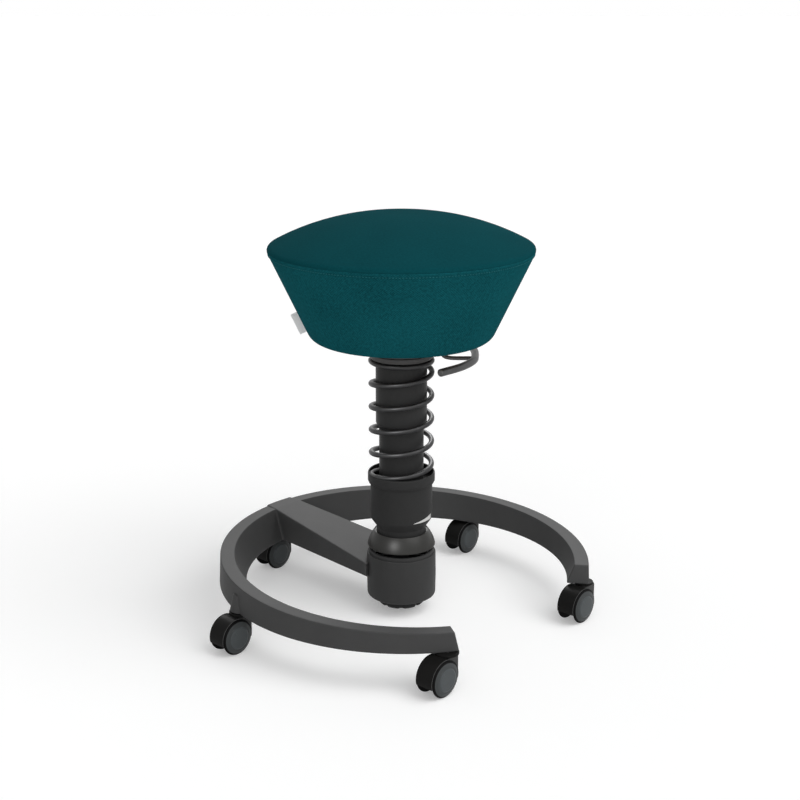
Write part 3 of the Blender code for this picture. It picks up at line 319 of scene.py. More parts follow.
def rod(path: Array, radius: float, sides: int, up: Sequence[float], end_round: float) -> Skin:
    """A round rod carried along a path, with rounded ends.

    At each point the section is a circle in the plane of two directions: path x up, and that
    crossed with the path. Each end adds rows that run on by end_round * sin(a) while the radius falls
    by end_round * (1 - cos(a)).

    Args:
        path: Centre line (n, 3).
        radius: Rod radius.
        sides: Points round the rod.
        up: A direction that the path never follows.
        end_round: Rounding of the end edges.

    Returns:
        The closed rod.
    """
    along = unit(np.gradient(path, axis=0))
    run_on, draw_in = end_arc(END_ROWS)
    run, shrink = end_round * run_on[:, None], end_round * draw_in
    centres = np.concatenate((path[:1] - along[:1] * run, path[1:-1], path[-1:] + along[-1:] * run[::-1]))
    first, last = np.repeat(along[:1], END_ROWS, 0), np.repeat(along[-1:], END_ROWS, 0)
    ways = np.concatenate((first, along[1:-1], last))
    radii = np.concatenate((radius - shrink, np.full(len(path) - 2, radius), radius - shrink[::-1]))
    across = unit(np.cross(ways, np.asarray(up, float)))
    over = np.cross(across, ways)
    angle = full_turn(sides)[None, :, None]
    circle = across[:, None] * np.cos(angle) + over[:, None] * np.sin(angle)
    return loft(centres[:, None] + circle * radii[:, None, None])


# Finishes


class Graph:
    """A node tree that is filled in by short calls."""

    def __init__(self, tree: bpy.types.NodeTree) -> None:
        """Keeps the tree and clears it."""
        self.tree = tree
        tree.nodes.clear()

    def add(self, kind: str, inputs: dict[str | int, Any] | None = None, **settings: Any) -> bpy.types.Node:
        """Adds a node.

        Args:
            kind: Blender's name for the node.
            inputs: Values or sockets for its inputs.
            settings: Its other properties.

        Returns:
            The new node.
        """
        node = self.tree.nodes.new(kind)
        for key, value in settings.items():
            setattr(node, key, value)
        for key, value in (inputs or {}).items():
            if isinstance(value, bpy.types.NodeSocket):
                self.tree.links.new(value, node.inputs[key])
            else:
                node.inputs[key].default_value = value
        return node

    def math(self, operation: str, *values: Any) -> bpy.types.NodeSocket:
        """A Math node's result on values or sockets."""
        return self.add("ShaderNodeMath", dict(enumerate(values)), operation=operation).outputs[0]

    def spread(self, value: Any, low: float, high: float, to_low: float, to_high: float) -> Any:
        """A value between low and high carried to the range to_low .. to_high."""
        return self.add(
            "ShaderNodeMapRange", {0: value, 1: low, 2: high, 3: to_low, 4: to_high}
        ).outputs[0]

    def stretched(self, noise: Any) -> Any:
        """Noise carried from its usual range, 0.3 to 0.7, to the range 0 .. 1."""
        return self.spread(noise, 0.3, 0.7, 0.0, 1.0)

    def lead(self, socket: Any, node: bpy.types.Node, name: str) -> None:
        """Leads a socket into a node's named input."""
        self.tree.links.new(socket, node.inputs[name])

    def noise(self, place: Any, scale: Any, detail: float, rough: float = 0.5) -> Any:
        """The value of a Noise texture."""
        sockets = {"Vector": place, "Scale": scale, "Detail": detail, "Roughness": rough}
        return self.add("ShaderNodeTexNoise", sockets).outputs[0]

    def blend(self, share: Any, first: Any, second: Any) -> bpy.types.NodeSocket:
        """One colour mixed into another by a share."""
        node = self.add("ShaderNodeMix", {0: share, 6: first, 7: second}, data_type="RGBA")
        return node.outputs[2]


def shade(colour: Colour, by: float) -> tuple[float, float, float, float]:
    """A colour made lighter or darker by a factor, with full alpha."""
    return (colour[0] * by, colour[1] * by, colour[2] * by, 1.0)


class EffectGroups:
    """The surface effects that several finishes share, each a node group made once."""

    @staticmethod
    def start(name: str, inputs: dict[str, str], outputs: Sequence[str]) -> tuple[Any, Graph | None]:
        """Finds a group, or begins it.

        Args:
            name: The group's name.
            inputs: Socket names and kinds.
            outputs: Names of its value outputs.

        Returns:
            The group, and its graph if it is new.
        """
        found = bpy.data.node_groups.get(name)
        if found:
            return found, None
        group = bpy.data.node_groups.new(name, "ShaderNodeTree")
        for socket, kind in inputs.items():
            group.interface.new_socket(socket, in_out="INPUT", socket_type=kind)
        for socket in outputs:
            group.interface.new_socket(socket, in_out="OUTPUT", socket_type="NodeSocketFloat")
        return group, Graph(group)

    @classmethod
    def grain(cls) -> bpy.types.NodeTree:
        """Fine grain of a coat or a moulding: Height from small noise, Tone from clouds, Rub from smears."""
        sockets = {
            "Vector": "NodeSocketVector",
            "Grain": "NodeSocketFloat",
            "Cloud": "NodeSocketFloat",
        }
        group, graph = cls.start("fine_grain", sockets, ("Height", "Tone", "Rub"))
        if graph:
            given = graph.add("NodeGroupInput").outputs
            fine = graph.noise(given["Vector"], given["Grain"], 2.0, 0.6)
            cloud = graph.noise(given["Vector"], given["Cloud"], 4.0, 0.6)
            smear_scale = graph.math("MULTIPLY", given["Cloud"], 3.7)
            smear = graph.spread(graph.noise(given["Vector"], smear_scale, 5.0, 0.65), 0.35, 0.7, 0.0, 1.0)
            speck = graph.math("MULTIPLY", fine, 0.45)
            tone = graph.math("ADD", speck, graph.math("MULTIPLY", cloud, 0.55))
            graph.add("NodeGroupOutput", {"Height": fine, "Tone": tone, "Rub": smear})
        return group

    @classmethod
    def edges(cls) -> bpy.types.NodeTree:
        """Edge rub: a mask that is 1 on the sharpest outward edges, broken up by noise."""
        group, graph = cls.start("edge_rub", {"Vector": "NodeSocketVector"}, ("Mask",))
        if graph:
            given = graph.add("NodeGroupInput").outputs
            point = graph.add("ShaderNodeNewGeometry").outputs["Pointiness"]
            edge = graph.spread(point, 0.515, 0.60, 0.0, 1.0)
            broken = graph.spread(graph.noise(given["Vector"], 160.0, 4.0), 0.3, 0.65, 0.35, 1.0)
            graph.add("NodeGroupOutput", {"Mask": graph.math("MULTIPLY", edge, broken)})
        return group

    @classmethod
    def streaks(cls) -> bpy.types.NodeTree:
        """Turning marks: noise drawn out round the axis, so that it changes fast along Z only."""
        group, graph = cls.start("turning_marks", {"Vector": "NodeSocketVector"}, ("Height", "Tone"))
        if graph:
            given = graph.add("NodeGroupInput").outputs
            drawn = graph.add(
                "ShaderNodeVectorMath", {0: given["Vector"], 1: (40.0, 40.0, 2600.0)}, operation="MULTIPLY"
            ).outputs[0]
            graph.add(
                "NodeGroupOutput",
                {"Height": graph.noise(drawn, 1.0, 3.0), "Tone": graph.noise(given["Vector"], 55.0, 4.0)},
            )
        return group

    @classmethod
    def weave(cls) -> bpy.types.NodeTree:
        """Felted twill: ribs sin(2 pi (u + v)) and sin(2 pi (u - v)) under loose fibres, with flecks."""
        sockets = {"Vector": "NodeSocketVector", "Threads": "NodeSocketFloat"}
        group, graph = cls.start("felted_twill", sockets, ("Height", "Tone", "Fleck"))
        if graph:
            given = graph.add("NodeGroupInput").outputs
            place = graph.add(
                "ShaderNodeVectorMath", {0: given["Vector"], "Scale": given["Threads"]}, operation="SCALE"
            ).outputs[0]
            stray = graph.math("MULTIPLY", graph.noise(place, 0.45, 3.0), 1.6)
            axes = graph.add("ShaderNodeSeparateXYZ", {0: place}).outputs
            slant = graph.math("ADD", graph.math("ADD", axes[0], axes[1]), stray)
            cross = graph.math("ADD", graph.math("SUBTRACT", axes[0], axes[1]), stray)
            rib = graph.spread(graph.math("SINE", graph.math("MULTIPLY", slant, 2 * math.pi)), -1, 1, 0, 1)
            knot = graph.spread(graph.math("SINE", graph.math("MULTIPLY", cross, 2 * math.pi)), -1, 1, 0, 1)
            fibre = graph.noise(place, 2.6, 4.0, 0.7)
            ribs = graph.math("ADD", graph.math("MULTIPLY", rib, 0.24), graph.math("MULTIPLY", knot, 0.22))
            height = graph.math("ADD", ribs, graph.math("MULTIPLY", fibre, 0.54))
            fleck = graph.spread(graph.noise(place, 0.8, 2.0, 0.8), 0.36, 0.66, 0.0, 1.0)
            cloud = graph.noise(place, 0.03, 4.0)
            tone = graph.math("ADD", graph.math("MULTIPLY", height, 0.6), graph.math("MULTIPLY", cloud, 0.4))
            graph.add("NodeGroupOutput", {"Height": height, "Tone": tone, "Fleck": fleck})
        return group


@dataclass(frozen=True)
class Finish:
    """What every finish shares: a name, a colour, and a material made once from them."""

    name: str
    colour: Colour

    def material(self) -> bpy.types.Material:
        """The finish's material, made on first use."""
        found = bpy.data.materials.get(self.name)
        if found:
            return found
        made = bpy.data.materials.new(self.name)
        made.use_nodes = True
        made.diffuse_color = shade(self.colour, 1.0)
        graph = Graph(made.node_tree)
        shader = graph.add("ShaderNodeBsdfPrincipled")
        graph.add("ShaderNodeOutputMaterial", {"Surface": shader.outputs[0]})
        self.dress(graph, shader)
        return made

    def dress(self, graph: Graph, shader: bpy.types.Node) -> None:
        """Fills in the shader; each kind of finish has its own way."""
        raise NotImplementedError

    def ground(self, graph: Graph, share: Any, dark: float, light: float) -> bpy.types.NodeSocket:
        """The finish's colour, from a darker to a lighter shade of itself by a share."""
        return graph.blend(share, shade(self.colour, dark), shade(self.colour, light))

    @staticmethod
    def bump(graph: Graph, shader: bpy.types.Node, height: Any, depth: float, strength: float) -> None:
        """Leads a height into the shader's normal, over a depth in metres."""
        sockets = {"Height": height, "Distance": depth, "Strength": strength}
        graph.lead(graph.add("ShaderNodeBump", sockets).outputs[0], shader, "Normal")


@dataclass(frozen=True)
class Coat(Finish):
    """A painted or moulded surface with a fine grain, clouded tone and rubbed edges."""

    roughness: float = 0.5
    grain: float = 2400.0
    cloud: float = 14.0
    depth: float = 0.00005
    swing: float = 0.10
    rub: float = 0.5
    edge: float = 1.9
    specular: float = 0.5
    smoother: float = 0.008
    rougher: float = 0.010
    relief: float = 0.35

    def dress(self, graph: Graph, shader: bpy.types.Node) -> None:
        """Colour swings with the clouds and lightens on the edges; roughness follows the smears."""
        place = graph.add("ShaderNodeTexCoord").outputs["Object"]
        sockets = {"Vector": place, "Grain": self.grain, "Cloud": self.cloud}
        grain = graph.add("ShaderNodeGroup", sockets, node_tree=EffectGroups.grain())
        worn = graph.add("ShaderNodeGroup", {"Vector": place}, node_tree=EffectGroups.edges())
        tone = graph.stretched(grain.outputs["Tone"])
        ground = self.ground(graph, tone, 1 - self.swing, 1 + self.swing)
        share = graph.math("MULTIPLY", worn.outputs["Mask"], self.rub)
        graph.lead(graph.blend(share, ground, shade(self.colour, self.edge)), shader, "Base Color")
        low, high = self.roughness - self.smoother, self.roughness + self.rougher
        graph.lead(graph.spread(grain.outputs["Rub"], 0.0, 1.0, low, high), shader, "Roughness")
        shader.inputs["Specular IOR Level"].default_value = self.specular
        self.bump(graph, shader, grain.outputs["Height"], self.depth, self.relief)


@dataclass(frozen=True)
class Moulding(Coat):
    """A smooth moulded surface: a coat with a shallower grain and less rubbed edges."""

    depth: float = 0.00003
    rub: float = 0.3


@dataclass(frozen=True)
class Steel(Finish):
    """Turned or drawn steel with fine marks round its axis."""

    roughness: float
    dark: float = 0.86
    light: float = 1.08
    smoother: float = 0.06
    rougher: float = 0.1
    depth: float = 0.00004
    relief: float = 0.3

    def dress(self, graph: Graph, shader: bpy.types.Node) -> None:
        """Tone and roughness follow the clouds, and the marks are a shallow bump."""
        place = graph.add("ShaderNodeTexCoord").outputs["Object"]
        marks = graph.add("ShaderNodeGroup", {"Vector": place}, node_tree=EffectGroups.streaks())
        tone = graph.stretched(marks.outputs["Tone"])
        graph.lead(self.ground(graph, tone, self.dark, self.light), shader, "Base Color")
        low, high = self.roughness - self.smoother, self.roughness + self.rougher
        graph.lead(graph.spread(marks.outputs["Height"], 0.2, 0.8, low, high), shader, "Roughness")
        shader.inputs["Metallic"].default_value = 1.0
        self.bump(graph, shader, marks.outputs["Height"], self.depth, self.relief)


@dataclass(frozen=True)
class Cloth(Finish):
    """Felted twill on the piece's own flat places, with flecks and a soft sheen."""

    fleck: float
    threads: float
    swing: float
    depth: float
    sheen: float
    sheen_roughness: float = 0.45
    sheen_tint: float = 4.0
    fleck_share: float = 0.45
    low_roughness: float = 0.98
    high_roughness: float = 0.86
    specular: float = 0.005
    relief: float = 0.5

    def dress(self, graph: Graph, shader: bpy.types.Node) -> None:
        """Tone follows the ribs and fibres, and some threads are lighter flecks."""
        place = graph.add("ShaderNodeUVMap", uv_map="weave").outputs[0]
        sockets = {"Vector": place, "Threads": self.threads}
        weave = graph.add("ShaderNodeGroup", sockets, node_tree=EffectGroups.weave())
        tone = graph.stretched(weave.outputs["Tone"])
        ground = self.ground(graph, tone, 1 - self.swing, 1 + self.swing)
        share = graph.math("MULTIPLY", weave.outputs["Fleck"], self.fleck_share)
        graph.lead(graph.blend(share, ground, shade(self.colour, self.fleck)), shader, "Base Color")
        rough = graph.spread(weave.outputs["Height"], 0.0, 1.0, self.low_roughness, self.high_roughness)
        graph.lead(rough, shader, "Roughness")
        shader.inputs["Specular IOR Level"].default_value = self.specular
        shader.inputs["Sheen Weight"].default_value = self.sheen
        shader.inputs["Sheen Roughness"].default_value = self.sheen_roughness
        shader.inputs["Sheen Tint"].default_value = shade(self.colour, self.sheen_tint)
        self.bump(graph, shader, weave.outputs["Height"], self.depth, self.relief)


@dataclass(frozen=True)
class Plywood(Finish):
    """Birch plywood with long grain on its faces and thin plies on its edge."""

    grain: tuple[float, float, float] = (30.0, 260.0, 900.0)
    dark: float = 0.72
    light: float = 1.18
    low_roughness: float = 0.55
    high_roughness: float = 0.75
    depth: float = 0.0002
    relief: float = 0.3

    def dress(self, graph: Graph, shader: bpy.types.Node) -> None:
        """Noise drawn out along X for the grain, and packed along Z for the plies."""
        place = graph.add("ShaderNodeTexCoord").outputs["Object"]
        drawn = graph.add(
            "ShaderNodeVectorMath", {0: place, 1: self.grain}, operation="MULTIPLY"
        ).outputs[0]
        figure = graph.noise(drawn, 1.0, 5.0, 0.6)
        graph.lead(self.ground(graph, figure, self.dark, self.light), shader, "Base Color")
        rough = graph.spread(figure, 0.2, 0.8, self.low_roughness, self.high_roughness)
        graph.lead(rough, shader, "Roughness")
        self.bump(graph, shader, figure, self.depth, self.relief)


class Finishes(Enum):
    """The stool's finishes."""

    FRAME = Coat("frame_charcoal", (0.054, 0.0541, 0.0543), 0.62, rub=0.6, specular=0.11)
    HUB = Coat("hub_charcoal", (0.041, 0.0411, 0.0412), 0.55, specular=0.12)
    CUP = Coat("cup_matt_black", (0.031, 0.0311, 0.0312), 0.52, rub=0.35, specular=0.07)
    CAP = Moulding("cap_satin", (0.024, 0.0236, 0.0218), 0.36, depth=0.00002, specular=0.22)
    TUBE = Moulding("tube_black", (0.033, 0.0331, 0.0333), 0.40, rub=0.2, specular=0.05)
    SLEEVE = Moulding("sleeve_black", (0.036, 0.0361, 0.0361), 0.42, specular=0.05)
    FLANGE = Moulding("flange_satin", (0.085, 0.085, 0.085), 0.45, specular=0.1)
    SPRING = Steel("spring_black_steel", (0.048, 0.048, 0.049), 0.42)
    LEVER = Steel("lever_gunmetal", (0.086, 0.086, 0.086), 0.45)
    HOOD = Moulding("castor_hood_black", (0.009, 0.0088, 0.0085), 0.42, specular=0.04)
    # The stem post's grey, also used on the hood's lip edge as a painted highlight.
    LIP = Moulding("castor_edge_grey", (0.044, 0.044, 0.0435), 0.45, specular=0.15)
    TREAD = Moulding(
        "castor_tread_black", (0.003, 0.003, 0.0031), 0.55, depth=0.00004, rub=0.2, specular=0.05
    )
    BEVEL = Moulding("castor_bevel_grey", (0.045, 0.049, 0.050), 0.45, specular=0.15)
    DISC = Moulding("castor_disc_grey", (0.056, 0.063, 0.066), 0.42, specular=0.2)
    KNOB = Coat("handwheel_black", (0.024, 0.0242, 0.0245), 0.48, rub=0.4, specular=0.10)
    # Painted shade: the parts seen through the gap under the cap are near black, so that the gap reads dark.
    DARK = Moulding("black_oxide", (0.010, 0.010, 0.0105), 0.45, specular=0.15)
    RUBBER = Coat("buffer_rubber", (0.012, 0.012, 0.012), 0.78, rub=0.1, specular=0.3)
    PALE = Coat("bush_pale_plastic", (0.62, 0.61, 0.58), 0.45, swing=0.05, rub=0.0)
    MARK = Moulding("mark_pale", (0.58, 0.58, 0.57), 0.45, swing=0.04, rub=0.0)
    PAN = Coat("pan_black_coat", (0.020, 0.0205, 0.021), 0.50, rub=0.4)
    STEEL = Steel("plain_steel_turned", (0.42, 0.42, 0.41), 0.38)
    BRIGHT = Steel("bright_steel_turned", (0.60, 0.60, 0.59), 0.22)
    # Painted shade: the crown is the side's teal felt made darker, to even out the stronger light on the top.
    CROWN = Cloth("seat_crown_teal", (0.0031, 0.0495, 0.059), 1.4, 420.0, 0.16, 0.0002, sheen=0.0)
    FELT = Cloth("seat_side_teal", (0.0045, 0.065, 0.077), 1.9, 300.0, 0.42, 0.0004, sheen=0.0)
    THREAD = Coat(
        "seam_thread", (0.017, 0.128, 0.142), 0.8, 4000.0, 300.0, swing=0.25, rub=0.0, specular=0.05
    )
    TAB = Cloth("tab_felt_grey", (0.84, 0.84, 0.84), 1.1, 1600.0, 0.1, 0.0002, sheen=0.1)
    PLYWOOD = Plywood("board_plywood", (0.42, 0.27, 0.14))


# The frame and its pieces


@dataclass
class Workshop:
    """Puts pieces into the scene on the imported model's bodies."""

    nodes: dict[str, bpy.types.Object]
    replaced: set[str] = field(default_factory=set)

    def mesh(self, name: str, skin: Skin, sharp: float = 35.0) -> bpy.types.Object:
        """Makes an object from a surface, with doubled points merged and its faces turned outwards.

        Args:
            name: The piece's name.
            skin: Its surface.
            sharp: Edges that bend more than this many degrees shade as sharp.

        Returns:
            The object, at the origin.
        """
        data = bpy.data.meshes.new(name)
        data.from_pydata(skin.points, [], skin.faces.tolist())
        data.polygons.foreach_set("material_index", skin.finish.astype(np.int32))
        if skin.flat is not None:
            layer = data.uv_layers.new(name="weave")
            layer.uv.foreach_set("vector", skin.flat.astype(np.float32).ravel())
        shell = bmesh.new()
        shell.from_mesh(data)
        bmesh.ops.remove_doubles(shell, verts=shell.verts, dist=1e-7)
        bmesh.ops.recalc_face_normals(shell, faces=shell.faces)
        shell.to_mesh(data)
        shell.free()
        data.polygons.foreach_set("use_smooth", np.ones(len(data.polygons), bool))
        data.set_sharp_from_angle(angle=math.radians(sharp))
        data.update()
        piece = bpy.data.objects.new(name, data)
        bpy.context.scene.collection.objects.link(piece)
        return piece

    def settle(
        self,
        piece: bpy.types.Object,
        body: str,
        finishes: Sequence[Finishes],
        nodes: Sequence[str] = (),
    ) -> bpy.types.Object:
        """Gives a piece its finishes, its body and the nodes that it stands for.

        Args:
            piece: The object.
            body: The body that it rides on.
            finishes: Its finishes, in the order of its faces' numbers.
            nodes: The nodes that it stands for.

        Returns:
            The same object.
        """
        for finish in finishes:
            piece.data.materials.append(finish.value.material())
        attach(piece, body)
        if nodes:
            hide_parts(*nodes)
            self.replaced.update(nodes)
        LOG.info("%s: %d faces on %s", piece.name, len(piece.data.polygons), body)
        return piece

    def stand_in(
        self, node: str, skin: Skin, body: str, finishes: Sequence[Finishes]
    ) -> bpy.types.Object:
        """Makes and settles the piece that takes one node's place and has its name with _skin added."""
        return self.settle(self.mesh(f"{node}_skin", skin), body, finishes, (node,))


@dataclass
class FootRing:
    """The open ring: a tapered four-sided section carried round most of a circle."""

    radius: float = 0.266
    top_width: float = 0.0204
    height_at_arm: float = 0.0458
    height_at_ends: float = 0.0269
    outer_draft: float = 0.05
    inner_draft: float = 0.40
    opening: float = math.radians(68.1)
    end_lean: float = 0.006
    end_zone: float = 0.10
    end_round: float = 0.0022
    edges: tuple[float, float, float, float] = (0.0014, 0.0013, 0.0013, 0.0016)
    edge_steps: int = 5
    flat_points: tuple[float, float] = (0.08, 0.92)
    stations: int = 260
    boss_castors: tuple[str, ...] = ("arm", "back", "left")
    boss_radius: float = 0.015
    boss_top_radius: float = 0.0095
    boss_lift: float = 0.0006
    boss_height: float = 0.025
    boss_steps: int = 48

    def height(self, along: Array | float) -> Array | float:
        """The ring's height at a distance towards the arm: it falls evenly to the two ends."""
        ends = -self.radius * math.cos(self.opening / 2)
        share = (along - ends) / (self.radius - ends)
        return self.height_at_ends + (self.height_at_arm - self.height_at_ends) * share

    def sections(self, angle: Array) -> Array:
        """The rounded sections (n, m, 2) of (radius, height) at angles, with two more points on each flat."""
        high = self.height(self.radius * np.cos(angle - ARM_ANGLE))
        inner = self.radius - self.top_width
        corners = np.stack(
            (
                np.stack((self.radius + self.outer_draft * high, RING_BOTTOM + 0 * high), -1),
                np.stack((self.radius + 0 * high, RING_BOTTOM + high), -1),
                np.stack((inner + 0 * high, RING_BOTTOM + high), -1),
                np.stack((inner - self.inner_draft * high, RING_BOTTOM + 0 * high), -1),
            ),
            -2,
        )
        turns = rounded(corners, self.edges, self.edge_steps, True)
        turns = turns.reshape(len(turns), len(self.edges), -1, 2)
        leave, meet = turns[:, :, -1:], np.roll(turns[:, :, :1], -1, axis=1)
        flats = leave + (meet - leave) * np.array(self.flat_points)[:, None]
        return np.concatenate((turns, flats), 2).reshape(len(turns), -1, 2)

    def ring_skin(self) -> Skin:
        """The ring as a loft of sections, whose ends lean out to the floor and have rounded edges.

        An end adds rows that run on by round * sin(a) while the section draws in to its middle by
        round * (1 - cos(a)). Within end_zone of an end, a point moves round by end_lean times its share
        of the way down.

        Returns:
            The closed ring about its own centre.
        """
        first = ARM_ANGLE - math.pi + self.opening / 2
        sweep = 2 * math.pi - self.opening
        run_on, draw_in = end_arc(END_ROWS)
        step = self.end_round / self.radius
        inside = first + step + (sweep - 2 * step) * np.linspace(0.0, 1.0, self.stations)
        angle = np.concatenate((inside[0] - step * run_on, inside[1:-1], inside[-1] + step * run_on[::-1]))
        draw = np.concatenate((draw_in, np.zeros(self.stations - 2), draw_in[::-1]))[:, None, None]
        section = self.sections(angle)
        middle = (section.min(1, keepdims=True) + section.max(1, keepdims=True)) / 2
        reach = np.abs(section - middle).max(1, keepdims=True)
        section = middle + (section - middle) * (1 - draw * self.end_round / reach)
        high = self.height(self.radius * np.cos(angle - ARM_ANGLE))[:, None]
        fall = 1 - (section[..., 1] - RING_BOTTOM) / high
        near_end = ease(1 - np.minimum(angle - first, first + sweep - angle) / self.end_zone)
        way = np.where(angle < first + sweep / 2, -1.0, 1.0)
        turned = angle[:, None] + (way * near_end)[:, None] * fall * self.end_lean / self.radius
        return loft(polar(section[..., 0], turned, section[..., 1]))

    def build(self, shop: Workshop, stems: dict[str, Array]) -> None:
        """Makes the ring with a tapered boss over each stem that stands inside its draft.

        Args:
            shop: Where the piece goes.
            stems: Each castor's stem place.
        """
        foot, head = RING_BOTTOM + self.boss_lift, RING_BOTTOM + self.boss_height
        boss = turned_piece(
            (
                (0.0, foot, 0.0),
                (self.boss_radius, foot, 0.001),
                (self.boss_top_radius, head, 0.003),
                (0.0, head, 0.0),
            ),
            self.boss_steps,
            False,
        )
        bosses = [boss.moved(stems[name]) for name in self.boss_castors]
        skin = joined(self.ring_skin().moved(RING_CENTRE), *bosses)
        shop.stand_in("foot_ring", skin, Body.BASE.value, (Finishes.FRAME,))


@dataclass
class SupportArm:
    """The wedge from the hub to the ring, lapped over the ring's top."""

    half_at_ring: float = 0.025
    half_at_hub: float = 0.0485
    height_at_hub: float = 0.0205
    lap: float = 0.0015
    hub_sink: float = 0.0008
    ring_inset: float = 0.0002
    end_narrowing: float = 0.001
    bottom_lift: float = 0.0003
    edge: float = 0.0022
    under_edge_share: float = 0.7
    strip: float = 0.0024
    strip_fade: float = 0.005
    stations: int = 40
    fine_from: float = 0.76

    @property
    def hub_end(self) -> float:
        """Where the arm's sizes at the hub hold, from the column's axis."""
        return HUB_RADIUS / 2

    def stretch(self, across: Array, ring: FootRing) -> Array:
        """The distances along the arm of each line of the section, closer together at the ring.

        A line starts where it meets the hub's circle and ends where it meets the ring's circle.

        Args:
            across: The place of each line across the arm, from -1 to 1.
            ring: The ring that the arm laps.

        Returns:
            Distances from the column's axis (stations, lines).
        """
        start_side = across * self.half_width(HUB_RADIUS, ring)
        start = np.sqrt(np.maximum((HUB_RADIUS - self.hub_sink) ** 2 - start_side**2, self.hub_end**2))
        end_side = across * (self.half_at_ring - self.end_narrowing)
        end = np.sqrt((ring.radius - self.ring_inset) ** 2 - end_side**2) - RING_OFFSET
        coarse = np.linspace(0.0, self.fine_from, self.stations, endpoint=False)
        share = np.concatenate((coarse, np.linspace(self.fine_from, 1.0, 2 * self.stations)))[:, None]
        return start + (end - start) * share

    def half_width(self, along: Array | float, ring: FootRing) -> Array | float:
        """Half the arm's width at a distance along it: it falls evenly from the hub to the ring."""
        growth = (self.half_at_ring - self.half_at_hub) / (ring.radius - RING_OFFSET - self.hub_end)
        return self.half_at_hub + growth * (along - self.hub_end)

    def top(self, along: Array, ring: FootRing) -> Array:
        """The top's height along the arm: an even ramp up to the ring, then the ring's own slope."""
        inner = ring.radius - ring.top_width
        inner_edge = inner - RING_OFFSET
        at_ring = ring.height(inner) + self.lap
        slope = (ring.height(ring.radius) - ring.height(inner)) / ring.top_width
        ramp = (at_ring - self.height_at_hub) / (inner_edge - self.hub_end)
        before = self.height_at_hub + ramp * (along - self.hub_end)
        return np.where(along < inner_edge, before, at_ring + slope * (along - inner_edge))

    def build(self, shop: Workshop, ring: FootRing) -> None:
        """Carries a rounded rectangle along the arm, from the hub's wall to the ring's outer edge.

        The section's place across is held while its half width and top change along the arm. A bevelled
        strip fills the corner against the ring's inner face: the half width grows by strip - gap there,
        and the strip fades out under the top.

        Args:
            shop: Where the piece goes.
            ring: The ring that it laps.
        """
        loop = self.fine_loop()
        across, up, drawn, dropped = loop.T
        along = self.stretch(across, ring)
        half, top = self.half_width(along, ring), self.top(along, ring)
        round_way = np.where(up > 0.5, 1.0, -self.under_edge_share)
        height = self.bottom_lift + (top - self.bottom_lift) * up - self.edge * dropped * round_way
        face = ring.radius - ring.top_width - ring.inner_draft * (ring.height(ring.radius) - height)
        gap = np.sqrt(face**2 - half**2) - RING_OFFSET - along
        fade = np.clip((top - height) / self.strip_fade, 0.0, 1.0)
        flare = np.where(np.abs(across) == 1.0, np.clip(self.strip - gap, 0.0, self.strip) * fade, 0.0)
        width = across * half + np.sign(across) * (flare - self.edge * drawn)
        level = (RING_BOTTOM + height)[..., None] * np.array(UP)
        points = along[..., None] * ARM_WAY + width[..., None] * ARM_SIDE + level
        skin = loft(points).moved(COLUMN_AXIS)
        shop.stand_in("support_arm", skin, Body.BASE.value, (Finishes.FRAME,))

    @staticmethod
    def fine_loop() -> Array:
        """A square's outline as rows of (across, up, drawn in, dropped) with room for round edges.

        The top and bottom have 16 points and the walls 9. Each corner is a quarter turn of 7 points whose
        last two columns say how far, in edge radii, it is drawn in from the wall and dropped from the top.

        Returns:
            The outline's rows, from -1 to 1 across and from 0 to 1 up.
        """
        turn = np.linspace(0.0, math.pi / 2, 7)
        flat = np.linspace(0.92, -0.92, 16)
        wall = np.linspace(0.1, 0.9, 9)
        drawn, dropped = 1 - np.cos(turn), 1 - np.sin(turn)
        stretches = (
            (1.0, wall, 0.0, 0.0),
            (1.0, 1.0, drawn, dropped),
            (flat, 1.0, 0.0, 0.0),
            (-1.0, 1.0, drawn[::-1], dropped[::-1]),
            (-1.0, wall[::-1], 0.0, 0.0),
            (-1.0, 0.0, drawn, dropped),
            (-flat, 0.0, 0.0, 0.0),
            (1.0, 0.0, drawn[::-1], dropped[::-1]),
        )
        return np.concatenate([np.stack(np.broadcast_arrays(*columns), -1) for columns in stretches])


